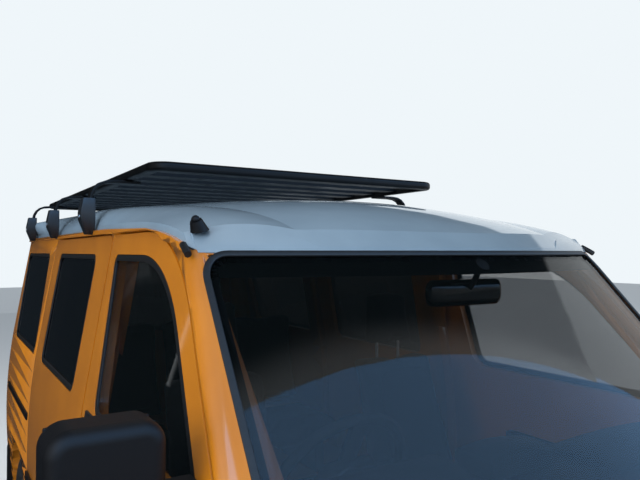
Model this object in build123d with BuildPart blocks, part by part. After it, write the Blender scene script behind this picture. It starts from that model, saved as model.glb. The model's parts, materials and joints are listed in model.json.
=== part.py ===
import os
from math import acos, atan, atan2, cos, degrees, pi, radians, sin, sqrt, tan

from build123d import *

os.makedirs("parts", exist_ok=True)

# Frame: +X to the vehicle's left, -Y forward, +Z up, origin on the ground under the middle.
# Places along the vehicle are given as the distance behind the front bumper's face.
length = 4065.0

# Body section across the vehicle
sill_half = 795.0
sill_z = 290.0
flank_half = 832.0
flank_z = 740.0
belt_half = 800.0
belt_z = 1195.0
gutter_half = 704.0
gutter_z = 1755.0
wall = 45.0
seam = 6.0
side_reach = 1100.0
skin_reach = 250.0

# Nose, bonnet and tail in side view
nose_gap = 65.0
nose_lean = 15.0
lip_z = 800.0
lip_back = 25.0
hood_back = 250.0
hood_z = 975.0
cowl_back = 480.0
cowl_z = 1085.0
cowl_end_z = 1115.0
cowl_end_back = 800.0
nose_bow = 4200.0
tail_gap = 30.0
tail_round = 80.0

# Windscreen plane: it bows across the vehicle and slopes in side view
screen_back = 490.0
screen_z = 1090.0
screen_run = 0.93
screen_bow = 1700.0
pillar_round = 45.0

# Wheels
wheelbase = 2650.0
front_axle_back = 735.0
track_half = 730.0
tyre_radius = 310.0
tyre_width = 165.0
# Tyre's half section: share of the half width and radius
tyre_half_rows = ((0.84, 194.0), (0.95, 218.0), (1.0, 244.0), (0.97, 274.0), (0.89, 296.0), (0.74, 307.0), (0.45, tyre_radius))
rim_radius = 178.0
flange_radius = 190.0
rim_width = 140.0
arch_radius = 380.0
rear_axle_back = front_axle_back + wheelbase

# Doors in side view
door_front_back = 775.0
door_kink_z = 1156.0
door_slope = 1.12
door_top_z = 1733.0
door_bow = 560.0
door_rear_back = 1905.0
door_low_z = 350.0
pillar_b = 10.0
slide_rear_back = 2985.0
door_corner = 40.0
runner_stations = (2100.0, 2800.0)
hinge_heights = (780.0, 1020.0)
bonnet_hinges = (-450.0, 450.0)
gate_hinges = (-350.0, 350.0)

# Side windows
glass_top_z = 1672.0
glass_low_z = 1198.0
glass_inset = 8.0
glass_thick = 5.0
glass_gap = 0.5
front_glass_front = 897.0
front_glass_slope = 1.10
front_glass_bow = 500.0
front_glass_rear = 1845.0
front_glass_rear_low = 1765.0
slide_glass_front = 2100.0
slide_glass_rear = 2840.0
quarter_glass_front = 3040.0
quarter_glass_rear = 3840.0
quarter_lean = 90.0
window_corner = 45.0

# Tailgate
gate_half_low = 660.0
gate_half_top = 610.0
gate_low_z = 600.0
gate_top_z = 1725.0
gate_glass_half = 545.0
gate_glass_low = 1150.0
gate_glass_top = 1630.0

# Bonnet
bonnet_half = 610.0
bonnet_front = 150.0
bonnet_rear = 425.0

# Roof sections: distance back, edge height, shoulder half width, shoulder height, crown height
roof_skin = 26.0
roof_base_z = 1500.0
roof_rows = (
    (940.0, 1596.0, 480.0, 1618.0, 1644.0, 0.03),
    (1190.0, 1710.0, 460.0, 1740.0, 1766.0, 0.04),
    (1500.0, 1758.0, 500.0, 1804.0, 1840.0, 0.06),
    (2000.0, 1771.0, 606.0, 1834.0, 1871.0, 0.14),
    (2600.0, 1771.0, 601.0, 1854.0, 1903.0, 0.16),
    (3300.0, 1771.0, 600.0, 1860.0, 1913.0, 0.16),
    (4035.0, 1771.0, 604.0, 1846.0, 1892.0, 0.16),
)
# Brow between windscreen and roof: a place on it and its slope, distance back per height
brow_back = 1080.0
brow_z = 1714.0
brow_run = 1.376
brow_low_z = 1450.0

# Edge of the white roof in side view: distance back and height
paint_rows = (
    (800.0, 1650.0),
    (1060.0, 1662.0),
    (1180.0, 1677.0),
    (1215.0, 1697.0),
    (1300.0, 1716.0),
    (1400.0, 1731.0),
    (1520.0, 1743.0),
    (2000.0, 1755.0),
)

# Drip rail under the white roof's edge
drip_near = 1190.0
drip_far = 3944.0
drip_proud = 12.0
drip_high = 16.0

# Skins, posts and the windscreen's opening
hood_thick = 30.0
jamb_deep = 38.0
jamb_lip = 40.0
wing_top_z = 1120.0
screen_half_low = 745.0
screen_low_z = 1112.0
screen_half_top = 698.0
screen_top_z = 1680.0

screen_inset = 6.0
cowl_half = 690.0
lamp_inner = 450.0
lamp_low_z = 610.0
lamp_high_z = 775.0
lamp_deep = 42.0
lamp_rear = 250.0
bumper_wrap = 330.0
rear_wrap = 240.0
rear_bow = 40000.0
bumper_low_z = 300.0
bumper_high_z = 560.0
bumper_round = 170.0
bumper_half = 832.5
plate_half = 172.0
plate_low_z = 345.0
plate_high_z = 515.0
plate_sink = 5.0
plate_pitch = 210.0
plate_hole = 3.5
plate_hole_deep = 25.0
grille_half = 430.0
grille_low_z = 625.0
grille_high_z = 765.0
grille_deep = 30.0
grille_frame = 16.0
grille_bars = 4
grille_bar = 12.0
tail_lamp_inner = 690.0
tail_lamp_low_z = 760.0
tail_lamp_high_z = 1120.0
rail_z = 920.0
rail_high = 30.0
rail_proud = 7.0
rail_end_back = 3850.0
mirror_x = 951.0
mirror_back = 950.0
mirror_z = 1280.0
mirror_wide = 195.0
mirror_high = 235.0
mirror_deep = 90.0
mirror_round = 42.0
mirror_arm_z = 1240.0
mirror_foot = 70.0

# Floor, rails and axles
floor_z = 560.0
floor_thick = 40.0
housing_skin = 14.0
housing_low_z = 440.0
housing_inner = 452.0
rail_inner = 360.0
rail_outer = 435.0
rail_low_z = 420.0
fit = 0.3
floor_front = 330.0
floor_rear = length - tail_gap - wall - jamb_deep - fit
skirt_thick = 15.0
rear_housing_inner = 560.0
tower_x = 566.0
tower_z = 860.0
tower_radius = 84.0
cover_half = 330.0
cover_front = 980.0
cover_rear = 1640.0
cover_z = 640.0
rail_front = 160.0
rail_rear = 3980.0
rail_high_z = floor_z - floor_thick
cross_stations = (200.0, 1780.0, 2450.0, 2950.0, 3900.0)
cross_wide = 60.0
cross_high = 70.0
engine_half = 230.0
engine_front = 1020.0
engine_rear = 1500.0
engine_low_z = 270.0
engine_high_z = 600.0
gearbox_radius = 130.0
gearbox_long = 500.0
shaft_z = 340.0
shaft_radius = 32.0
diff_radius = 120.0
axle_radius = 36.0
hub_radius = 27.0
hub_face = 26.0
drum_inner = 600.0
drum_wide = 80.0
drum_radius = 125.0
spring_half = 560.0
spring_wide = 55.0
spring_thick = 24.0
arm_z = 185.0
arm_thick = 22.0
arm_wide = 46.0
beam_wide = 80.0
beam_high = 60.0
post_wide = 50.0
strut_low_z = 505.0
strut_radius = 15.0
spring_low_z = 665.0
coil_core = 38.0
coil_radius = 50.0
cap_thick = 16.0
coils = 7
coil_pitch = 22.0
rack_behind = 110.0
rack_z = 470.0
rack_radius = 22.0
carrier_radius = 55.0
disc_x = 690.0
disc_radius = 118.0
disc_thick = 14.0
upright_radius = 24.0
cap_radius = 38.0
cap_high = 26.0
vents = 8
vent_ring = 138.0
vent_radius = 13.0

pipe_radius = 22.0
pipe_bend = 60.0
pipe_points = (
    (250.0, 1960.0, 320.0),
    (250.0, 2900.0, 320.0),
    (250.0, 3130.0, 460.0),
    (250.0, 3640.0, 460.0),
    (250.0, 3830.0, 250.0),
    (250.0, 4040.0, 250.0),
)
hanger_places = ((2200.0, 320.0), (3560.0, 460.0))
hanger_wide = 18.0
muffler_back = 2500.0
muffler_radius = 75.0
muffler_long = 460.0
tank_x = 190.0
tank_wide = 300.0
tank_back = 2200.0
tank_long = 380.0
tank_low_z = 330.0

# Cabin
dash_half = 745.0
dash_front = 600.0
dash_rear = 985.0
dash_low_z = 890.0
dash_top_z = 1165.0
dial_half = 170.0
dial_hood_z = 1215.0
column_radius = 32.0
column_long = 150.0
hub_drop = 45.0
hub_disc = 62.0
spoke_wide = 42.0
spoke_thick = 14.0
spoke_angles = (90.0, 270.0, 180.0)
steering_rim = 13.0
seat_x = 385.0
seat_wide = 480.0
seat_front = 1270.0
seat_deep = 490.0
seat_low_z = 650.0
cushion_high = 120.0
back_low_behind = 500.0
back_lean = 150.0
back_high_z = 1275.0
back_thick = 130.0
head_wide = 240.0
head_low_z = 1300.0
head_high_z = 1520.0
head_thick = 100.0
bench_half = 600.0
bench_front = 2520.0
bench_low_z = 700.0
bench_cushion_z = 840.0
bench_top_z = 1330.0
aerial_x = 671.0
aerial_back = 1234.0
aerial_z = 1712.0
aerial_lean = (-0.42, -0.28, 0.86)
aerial_foot_radius = 27.0
aerial_foot_high = 12.0
aerial_low_radius = 24.0
aerial_top_radius = 14.0
aerial_high = 36.0
aerial_ball_radius = 10.0
wiper_pivots = (-560.0, 60.0)
wiper_long = 520.0
wiper_proud = 16.0
wiper_rest_z = 1140.0
inside_mirror_x = 20.0
inside_mirror_z = 1570.0
inside_mirror_behind = 150.0
inside_mirror_wide = 260.0
inside_mirror_high = 72.0
inside_mirror_deep = 30.0
stem_rise = 70.0
stem_long = 105.0
visor_z = 1590.0
visor_x = 330.0
visor_behind = 26.0
visor_wide = 370.0
visor_high = 140.0
visor_thick = 14.0
visor_post_long = 260.0
visor_post_radius = 6.0

# Roof rack
rack_half = 610.0
rack_top_z = 1975.0
rack_front = 1830.0
rack_rear = 4000.0
rack_tube_high = 32.0
rack_nose = 12.0
rack_tube_wide = 36.0
rack_slats = 13
slat_wide = 72.0
slat_thick = 14.0
leg_stations = (2190.0, 2950.0, 3700.0)
leg_wide = 50.0
leg_thick = 9.0
rack_corner = 70.0
slat_gap = 30.0
slat_drop = 10.0
clamp_wide = 46.0
clamp_low_z = 1740.0
clamp_high_z = 1868.0
clamp_proud = 50.0
clamp_reach = 1.0
leg_foot_x = 734.0
leg_knee_x = 712.0
leg_bend = 62.0

# Steering
king_low_x = 640.0
king_low_z = 200.0
king_high_x = 545.0
king_high_z = 950.0
arm_gap = 3.5
steering_x = -380.0
steering_back = 1100.0
steering_z = 1150.0
steering_tilt = 62.0
steering_radius = 185.0

sides = (("left", 1), ("right", -1))


def back(distance):
    return distance - length / 2


def side_half(height, outset=0.0):
    lean = (belt_half - gutter_half) / (gutter_z - belt_z)
    return belt_half - (height - belt_z) * lean + outset


def closed_outline(rows):
    """Draws a closed outline from rows of across, up and corner radius."""
    points = [(across, up) for across, up, radius in rows]
    radii = [radius for across, up, radius in rows]
    FilletPolyline(*points, radius=radii, close=True)


def side_prism(rows, grow=0.0, inner=-side_reach, outer=side_reach):
    """Prism across the vehicle on a side-view outline."""
    with BuildPart() as prism:
        with BuildSketch(Plane.YZ.offset(inner)):
            with BuildLine():
                closed_outline([(back(distance), height, radius) for distance, height, radius in rows])
            make_face()
            if grow:
                offset(amount=grow, kind=Kind.INTERSECTION)
        extrude(amount=outer - inner)
    return prism.part


def end_prism(rows, near, far, grow=0.0):
    """Prism along the vehicle on an end-view outline, between two distances back."""
    with BuildPart() as prism:
        with BuildSketch(Plane.XZ.offset(-back(far))):
            with BuildLine():
                closed_outline(rows)
            make_face()
            if grow:
                offset(amount=grow, kind=Kind.INTERSECTION)
        extrude(amount=far - near)
    return prism.part


def top_prism(rows, low, high, grow=0.0):
    """Upright prism on a plan outline, between two heights."""
    with BuildPart() as prism:
        with BuildSketch(Plane.XY.offset(low)):
            with BuildLine():
                closed_outline([(across, back(distance), radius) for across, distance, radius in rows])
            make_face()
            if grow:
                offset(amount=grow, kind=Kind.INTERSECTION)
        extrude(amount=high - low)
    return prism.part


def block(x_low, x_high, near, far, z_low, z_high):
    """Plain block between limits across, back and up."""
    with BuildPart() as solid:
        with Locations(((x_low + x_high) / 2, back((near + far) / 2), (z_low + z_high) / 2)):
            Box(x_high - x_low, far - near, z_high - z_low)
    return solid.part


def half_space(side):
    return block(0, side_reach, 0, length, 0, 2500) if side > 0 else block(-side_reach, 0, 0, length, 0, 2500)


def cross_cylinder(distance, height, radius, inner, outer):
    """Cylinder lying across the vehicle."""
    with BuildPart() as solid:
        with BuildSketch(Plane.YZ.offset(inner)):
            with Locations((back(distance), height)):
                Circle(radius)
        extrude(amount=outer - inner)
    return solid.part


def body_tube(inset, reach):
    """The body's section carried along the vehicle."""
    low = sill_z - reach
    high = gutter_z + reach
    with BuildPart() as tube:
        with BuildSketch(Plane.XZ.offset(-length)):
            with BuildLine():
                foot = Line((0, low), (sill_half - inset, low))
                turn = Line(foot @ 1, (sill_half - inset, sill_z + 1))
                flank = ThreePointArc(turn @ 1, (flank_half - inset, flank_z), (belt_half - inset, belt_z))
                upper = Line(flank @ 1, (side_half(high) - inset, high))
                Line(upper @ 1, (0, high))
                mirror(about=Plane.YZ)
            make_face()
        extrude(amount=2 * length)
    return tube.part


def lower_form(inset, reach):
    """Nose, bonnet and flanks up to the cowl."""
    low = sill_z - reach
    tail = back(length - tail_gap - inset)
    with BuildPart() as lower:
        add(body_tube(inset, reach))
        with BuildSketch(Plane.YZ):
            with BuildLine():
                front = Line((back(nose_gap + nose_lean + inset), low), (back(nose_gap + inset), lip_z - 100))
                lip = Line(front @ 1, (back(nose_gap + lip_back + inset), lip_z - inset))
                hood = ThreePointArc(lip @ 1, (back(hood_back), hood_z - inset), (back(cowl_back), cowl_z - inset))
                cowl = Line(hood @ 1, (back(cowl_end_back), cowl_end_z - inset))
                deck = Line(cowl @ 1, (tail, cowl_end_z - inset))
                rear = Line(deck @ 1, (tail, low))
                Line(rear @ 1, front @ 0)
            make_face()
        extrude(amount=side_reach, both=True, mode=Mode.INTERSECT)
        add(bowed_front(nose_gap + inset, nose_bow, -500, 3000, Vector(0, 0, 1)), mode=Mode.INTERSECT)
    return lower.part


def bowed_front(distance, bow, low, rise, direction):
    """Everything behind a front face that is bowed in plan and carried up along a direction."""
    sag = bow - sqrt(bow**2 - side_reach**2)
    near = back(distance)
    far = near + 2 * length
    with BuildPart() as region:
        with BuildSketch(Plane.XY.offset(low)):
            with BuildLine():
                front = ThreePointArc((-side_reach, near + sag), (0, near), (side_reach, near + sag))
                flank = Line(front @ 1, (side_reach, far))
                tail = Line(flank @ 1, (-side_reach, far))
                Line(tail @ 1, front @ 0)
            make_face()
        extrude(amount=rise, dir=direction)
    return region.part


def behind_screen(inset):
    """Everything behind the windscreen's surface drawn in by an inset."""
    low = 800.0
    distance = screen_back - (screen_z - low) * screen_run + inset * sqrt(1 + screen_run**2)
    slope = Vector(0, screen_run, 1).normalized()
    return bowed_front(distance, screen_bow, low, 1700.0, slope)


def upper_form(inset, reach):
    """Cabin from below the cowl to the gutter."""
    tail = length - tail_gap - inset
    with BuildPart() as upper:
        add(body_tube(inset, reach))
        add(behind_screen(inset), mode=Mode.INTERSECT)
        add(block(-side_reach, side_reach, -200, tail, 850, 2100), mode=Mode.INTERSECT)
        if inset < pillar_round - seam:
            pillars = upper.edges().filter_by(lambda edge: abs(edge.center().X) > 600 and -1600 < edge.center().Y < -600)
            pillars = pillars.filter_by(lambda edge: edge.length > 250)
            fillet(pillars, pillar_round - inset)
    return upper.part


def body_form(inset, reach=0.0):
    """Outer form of the body drawn in by an inset and carried past its ends by a reach."""
    with BuildPart() as form:
        add(lower_form(inset, reach))
        add(upper_form(inset, reach))
        tail = back(length - tail_gap - inset)
        corners = form.edges().filter_by(lambda edge: abs(edge.center().Y - tail) < 1 and abs(edge.center().X) > 600)
        fillet(corners, max(tail_round - inset, 5.0))
    return form.part


def shell_part(region, skin, *cuts):
    """A body panel: one region of a skin, less its cuts."""
    with BuildPart() as panel:
        add(skin)
        add(region, mode=Mode.INTERSECT)
        for cut in cuts:
            add(cut, mode=Mode.SUBTRACT)
    return panel.part


def shut_boss(inner_x, outer_x, near, far, low, high):
    """Small hinge leaf or stop that reaches across a seam to within the fit."""
    return block(min(inner_x, outer_x), max(inner_x, outer_x), near, far, low, high)


def overlap(first, *others):
    """What solids have in common."""
    with BuildPart() as common:
        add(first)
        for other in others:
            add(other, mode=Mode.INTERSECT)
    return common.part


def mirrored(solid):
    return mirror(solid, about=Plane.YZ, mode=Mode.PRIVATE)


def front_door_rows():
    top_front = door_front_back + (door_top_z - door_kink_z) / door_slope
    return (
        (door_front_back, door_low_z, 0.0),
        (door_rear_back, door_low_z, door_corner),
        (door_rear_back, door_top_z, door_corner),
        (top_front, door_top_z, door_bow),
        (door_front_back, door_kink_z, 60.0),
    )


def slide_door_rows():
    front = door_rear_back + pillar_b
    return (
        (front, door_low_z, door_corner),
        (slide_rear_back, door_low_z, door_corner),
        (slide_rear_back, door_top_z, door_corner),
        (front, door_top_z, door_corner),
    )


def front_glass_rows():
    top_front = front_glass_front + (glass_top_z - glass_low_z) / front_glass_slope
    return (
        (front_glass_front, glass_low_z, 12.0),
        (front_glass_rear_low, glass_low_z, 60.0),
        (front_glass_rear, glass_top_z, 30.0),
        (top_front, glass_top_z, front_glass_bow),
    )


def slide_glass_rows():
    return (
        (slide_glass_front, glass_low_z, window_corner),
        (slide_glass_rear, glass_low_z, window_corner),
        (slide_glass_rear, glass_top_z, window_corner),
        (slide_glass_front, glass_top_z, window_corner),
    )


def quarter_glass_rows():
    return (
        (quarter_glass_front, glass_low_z, window_corner),
        (quarter_glass_rear, glass_low_z, window_corner),
        (quarter_glass_rear + quarter_lean, glass_top_z, window_corner),
        (quarter_glass_front + quarter_lean, glass_top_z, window_corner),
    )


def gate_rows():
    return (
        (-gate_half_low, gate_low_z, door_corner),
        (gate_half_low, gate_low_z, door_corner),
        (gate_half_top, gate_top_z, door_corner),
        (-gate_half_top, gate_top_z, door_corner),
    )


def gate_glass_rows():
    return (
        (-gate_glass_half, gate_glass_low, window_corner),
        (gate_glass_half, gate_glass_low, window_corner),
        (gate_glass_half, gate_glass_top, window_corner),
        (-gate_glass_half, gate_glass_top, window_corner),
    )


def screen_rows():
    return (
        (-screen_half_low, screen_low_z, 20.0),
        (screen_half_low, screen_low_z, 20.0),
        (screen_half_top, screen_top_z, 70.0),
        (-screen_half_top, screen_top_z, 70.0),
    )


def bonnet_rows():
    return (
        (-bonnet_half, bonnet_front, 60.0),
        (bonnet_half, bonnet_front, 60.0),
        (bonnet_half, bonnet_rear, 20.0),
        (-bonnet_half, bonnet_rear, 20.0),
    )


def head_lamp_rows(side):
    return (
        (side * lamp_inner, lamp_low_z, 20.0),
        (side * side_reach, lamp_low_z, 0.0),
        (side * side_reach, lamp_high_z, 0.0),
        (side * lamp_inner, lamp_high_z, 20.0),
    )


def grille_rows():
    return (
        (-grille_half, grille_low_z, 15.0),
        (grille_half, grille_low_z, 15.0),
        (grille_half, grille_high_z, 15.0),
        (-grille_half, grille_high_z, 15.0),
    )


def tail_lamp_rows(side):
    return (
        (side * tail_lamp_inner, tail_lamp_low_z, 15.0),
        (side * side_reach, tail_lamp_low_z, 0.0),
        (side * side_reach, tail_lamp_high_z, 0.0),
        (side * tail_lamp_inner, tail_lamp_high_z, 15.0),
    )


def bumper_beam(face_back, wrap, bow):
    """Front bumper's full block in plan, before the body's form is cut from it."""
    sag = bow - sqrt(bow**2 - bumper_half**2)
    face = back(face_back)
    with BuildPart() as beam:
        with BuildSketch(Plane.XY.offset(bumper_low_z)):
            with BuildLine():
                front = ThreePointArc((-bumper_half, face + sag), (0, face), (bumper_half, face + sag))
                flank = Line(front @ 1, (bumper_half, back(wrap)))
                tail = Line(flank @ 1, (-bumper_half, back(wrap)))
                Line(tail @ 1, front @ 0)
            make_face()
        extrude(amount=bumper_high_z - bumper_low_z)
        fillet(beam.edges().filter_by(Axis.Z).sort_by(Axis.Y)[:2], bumper_round)
        fillet(beam.faces().sort_by(Axis.Z)[-1].edges().sort_by(Axis.Y)[:5], 18)
    return beam.part


def king_x(height):
    """Kingpin line's distance from the middle at a height."""
    share = (height - king_low_z) / (king_high_z - king_low_z)
    return king_low_x + share * (king_high_x - king_low_x)


def king_plane(side, height):
    origin = (side * king_x(height), back(front_axle_back), height)
    along = (side * (king_high_x - king_low_x), 0, king_high_z - king_low_z)
    return Plane(origin=origin, z_dir=along)


def king_rod(side, low, high, radius):
    """Rod along the kingpin line between two heights."""
    slant = sqrt(1 + ((king_high_x - king_low_x) / (king_high_z - king_low_z)) ** 2)
    with BuildPart() as rod:
        with BuildSketch(king_plane(side, low)):
            Circle(radius)
        extrude(amount=(high - low) * slant)
    return rod.part


def king_ring(side, height):
    """One turn of the coil spring as two cones."""
    half = coil_pitch / 2
    low_in = (Align.CENTER, Align.CENTER, Align.MIN)
    with BuildPart() as ring:
        with Locations(king_plane(side, height).location):
            Cone(coil_core, coil_radius, half, align=low_in)
        with Locations(king_plane(side, height + half).location):
            Cone(coil_radius, coil_core, half, align=low_in)
    return ring.part


def rim_rows():
    """Rim section: outward from its middle plane, and radius."""
    half = rim_width / 2
    return (
        (-half, flange_radius),
        (-half + 4, flange_radius),
        (-half + 4, rim_radius),
        (half - 4, rim_radius),
        (half - 4, flange_radius),
        (half, flange_radius),
        (half, rim_radius - 6),
        (hub_face + 12, rim_radius - 12),
        (hub_face + 8, vent_ring - 20),
        (hub_face + 8, 0),
        (hub_face, 0),
        (hub_face, vent_ring - 14),
        (hub_face + 2, rim_radius - 8),
        (-half, rim_radius - 6),
    )


def tyre_rows():
    """Tyre section: outward from its middle plane, radius and corner."""
    half = [(share * tyre_width / 2, radius, 0.0) for share, radius in tyre_half_rows]
    bead = rim_width / 2 - 5
    outer_side = [(bead, rim_radius + fit, 0.0), (bead, flange_radius + fit, 0.0)] + half
    return outer_side + [(-across, radius, corner) for across, radius, corner in reversed(outer_side)]


def dash_rows():
    return (
        (dash_front, dash_low_z, 0.0),
        (dash_rear - 60, dash_low_z, 20.0),
        (dash_rear, dash_top_z - 80, 40.0),
        (dash_rear - 40, dash_top_z, 30.0),
        (dash_front, dash_top_z, 0.0),
    )


def dial_hood_rows():
    return (
        (dash_front + 80, dash_top_z - 40, 0.0),
        (dash_rear - 20, dash_top_z - 40, 15.0),
        (dash_rear - 10, dial_hood_z, 25.0),
        (dash_rear - 110, dial_hood_z, 40.0),
    )


def steering_plane(rise):
    """Plane across the steering column, at a rise along it from the rim's plane."""
    tilt = radians(steering_tilt)
    along = Vector(0, sin(tilt), cos(tilt))
    origin = Vector(steering_x, back(steering_back), steering_z) + along * rise
    return Plane(origin=origin, x_dir=(1, 0, 0), z_dir=along)


def seat_form(middle_x, wide, head):
    """Closed soft form of one seat."""
    rear = seat_front + back_low_behind
    cushion = (
        (seat_front, seat_low_z, 25.0),
        (seat_front + seat_deep, seat_low_z, 25.0),
        (seat_front + seat_deep, seat_low_z + cushion_high, 25.0),
        (seat_front, seat_low_z + cushion_high, 45.0),
    )
    rest = (
        (rear - back_thick, seat_low_z + cushion_high - 10, 20.0),
        (rear, seat_low_z + cushion_high - 10, 20.0),
        (rear + back_lean, back_high_z, 40.0),
        (rear + back_lean - back_thick * 0.8, back_high_z, 40.0),
    )
    head_rear = rear + back_lean + 12
    pillow = (
        (head_rear - head_thick, head_low_z, 30.0),
        (head_rear, head_low_z, 30.0),
        (head_rear + 15, head_high_z, 35.0),
        (head_rear + 15 - head_thick * 0.85, head_high_z, 35.0),
    )
    with BuildPart() as seat:
        add(side_prism(cushion, 0, middle_x - wide / 2, middle_x + wide / 2))
        add(side_prism(rest, 0, middle_x - wide / 2 + 15, middle_x + wide / 2 - 15))
        add(side_prism(pillow, 0, middle_x - head / 2, middle_x + head / 2))
        for across in (middle_x - head / 4, middle_x + head / 4):
            with Locations((across, back(head_rear - head_thick / 2), (back_high_z + head_low_z) / 2)):
                Cylinder(7, head_low_z - back_high_z + 60)
    return seat.part


def bench_rows():
    deep = 470.0
    return (
        (bench_front, bench_low_z, 30.0),
        (bench_front + deep + 60, bench_low_z, 30.0),
        (bench_front + deep + 150, bench_top_z, 45.0),
        (bench_front + deep + 50, bench_top_z, 45.0),
        (bench_front + deep - 70, bench_cushion_z, 20.0),
        (bench_front, bench_cushion_z, 45.0),
    )


def rack_leg(side, station):
    """One leg: a gutter clamp and a flat bar bent in under the rack."""
    low = rack_top_z - rack_tube_high
    with BuildPart() as leg:
        with Locations((side * (leg_foot_x + clamp_reach), back(station), (clamp_low_z + clamp_high_z) / 2)):
            Box(clamp_proud, clamp_wide, clamp_high_z - clamp_low_z)
        add(body_form(-drip_proud - fit, skin_reach), mode=Mode.SUBTRACT)
        with BuildSketch(Plane.XZ.offset(-back(station) - leg_wide / 2)):
            with BuildLine():
                FilletPolyline(
                    (side * leg_foot_x, clamp_low_z + 30),
                    (side * leg_knee_x, low - leg_thick / 2 - fit),
                    (side * (rack_half - rack_tube_wide - 30), low - leg_thick / 2 - fit),
                    radius=(leg_bend,),
                )
            trace(line_width=leg_thick)
        extrude(amount=leg_wide)
        add(roof_form(-fit), mode=Mode.SUBTRACT)
    return leg.part


def screen_point(across, height, behind):
    """Point behind the windscreen's surface."""
    sag = screen_bow - sqrt(screen_bow**2 - across**2)
    distance = screen_back + (height - screen_z) * screen_run + sag
    return Vector(across, back(distance + behind * sqrt(1 + screen_run**2)), height)


def screen_plane(across, height, behind):
    """Plane along the windscreen, its normal pointing forward and up."""
    turn = atan(across / sqrt(screen_bow**2 - across**2))
    level = Vector(cos(turn), sin(turn), 0)
    slope = Vector(0, screen_run, 1).normalized()
    normal = level.cross(slope)
    if normal.Y > 0:
        normal = normal * -1
    return Plane(origin=screen_point(across, height, behind), x_dir=level, z_dir=normal)


def slope_rod(foot, long):
    """Thin rod from a point, up along the windscreen's slope."""
    with BuildPart() as rod:
        with BuildSketch(Plane(origin=foot, x_dir=(1, 0, 0), z_dir=(0, screen_run, 1))):
            Circle(visor_post_radius)
        extrude(amount=long)
    return rod.part


def wiper_strip(start, end, wide):
    """Corner rows of a strip between two points in front view."""
    across = end[0] - start[0]
    up = end[1] - start[1]
    long = sqrt(across**2 + up**2)
    side_x = -up / long * wide / 2
    side_z = across / long * wide / 2
    return (
        (start[0] - side_x, start[1] - side_z, 0.0),
        (end[0] - side_x, end[1] - side_z, 0.0),
        (end[0] + side_x, end[1] + side_z, 0.0),
        (start[0] + side_x, start[1] + side_z, 0.0),
    )


def wiper(pivot_x):
    """Arm and blade that lie low on the windscreen and follow its bow."""
    layer = behind_screen(screen_inset - wiper_proud).cut(behind_screen(screen_inset - fit))
    arm_end = (pivot_x + wiper_long * 0.55, wiper_rest_z + 22)
    blade_start = (pivot_x + 30, wiper_rest_z + 12)
    blade_end = (pivot_x + wiper_long, wiper_rest_z + 32)
    pivot = (pivot_x, wiper_rest_z - 40)
    with BuildPart() as unit:
        add(overlap(layer, end_prism(wiper_strip(blade_start, blade_end, 12), -200, 1500)))
        add(overlap(layer, end_prism(wiper_strip(pivot, arm_end, 20), -200, 1500)))
        add(body_form(-fit, skin_reach), mode=Mode.SUBTRACT)
    return unit.part


def jamb_rows():
    """Zone of the inner door posts and roof rail."""
    front = front_door_rows()
    top_front = front[3][0] - 60
    return (
        (door_front_back + 20, floor_z + fit, 0.0),
        (slide_rear_back + 60, floor_z + fit, 0.0),
        (slide_rear_back + 60, gutter_z - 2, 0.0),
        (top_front, gutter_z - 2, door_bow),
        (door_front_back + 20, door_kink_z + 30, 0.0),
    )


def above_paint():
    """Region of the white roof in side view."""
    top = 2300.0
    far = back(length + 200)
    points = [(back(distance), height) for distance, height in paint_rows]
    with BuildPart() as region:
        with BuildSketch(Plane.YZ.offset(-side_reach)):
            with BuildLine():
                Polyline(*points, (far, gutter_z), (far, top), (points[0][0], top), close=True)
            make_face()
        extrude(amount=2 * side_reach)
    return region.part


def roof_form(inset):
    """Roof lofted through its sections, drawn in by an inset."""
    with BuildPart() as roof:
        for distance, edge_z, shoulder_x, shoulder_z, crown_z, bulge in roof_rows:
            edge = (side_half(edge_z) - inset, edge_z)
            shoulder = (shoulder_x - inset * 0.6, shoulder_z - inset * 0.8)
            middle = ((edge[0] + shoulder[0]) / 2, (edge[1] + shoulder[1]) / 2)
            rise = shoulder[1] - edge[1]
            run = edge[0] - shoulder[0]
            full = (middle[0] + rise * bulge, middle[1] + run * bulge)
            end = back(distance) - (inset if distance > length / 2 + 1500 else 0)
            with BuildSketch(Plane.XZ.offset(-end)):
                with BuildLine():
                    base = Line((0, roof_base_z), (side_half(roof_base_z) - inset, roof_base_z))
                    cheek = Line(base @ 1, edge)
                    corner = ThreePointArc(cheek @ 1, full, shoulder)
                    mirror(about=Plane.YZ)
                    ThreePointArc(corner @ 1, (0, crown_z - inset), (-shoulder[0], shoulder[1]))
                make_face()
        loft()
    return roof.part


def brow_form():
    """Roof behind the windscreen's surface, with the crease between them taken off."""
    distance = brow_back - (brow_z - brow_low_z) * brow_run
    slope = Vector(0, brow_run, 1).normalized()
    with BuildPart() as brow:
        add(roof_form(0))
        add(behind_screen(0), mode=Mode.INTERSECT)
        add(bowed_front(distance, screen_bow, brow_low_z, 3000.0, slope), mode=Mode.INTERSECT)
    return brow.part


def drip_rows():
    """Drip rail in side view, hung from the paint's edge."""
    upper = [row for row in paint_rows if row[0] > drip_near] + [(drip_far, gutter_z)]
    top = [(distance, height, 0.0) for distance, height in upper]
    return top + [(distance, height - drip_high, 0.0) for distance, height in reversed(upper)]


# Forms and skins that the panels are cut from
outer = body_form(0)
cavity = body_form(wall, skin_reach)
shell = outer.cut(cavity)
door_shell = outer.cut(body_form(wall - seam, skin_reach))
flank_shell = outer.cut(body_tube(wall - seam, skin_reach))
hood_shell = outer.cut(body_form(hood_thick, skin_reach))
glass_shell = body_form(glass_inset).cut(body_form(glass_inset + glass_thick, skin_reach))
jamb_shell = body_form(wall).cut(body_form(wall + jamb_deep, skin_reach))
cabin = body_form(wall + fit, skin_reach)

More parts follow.
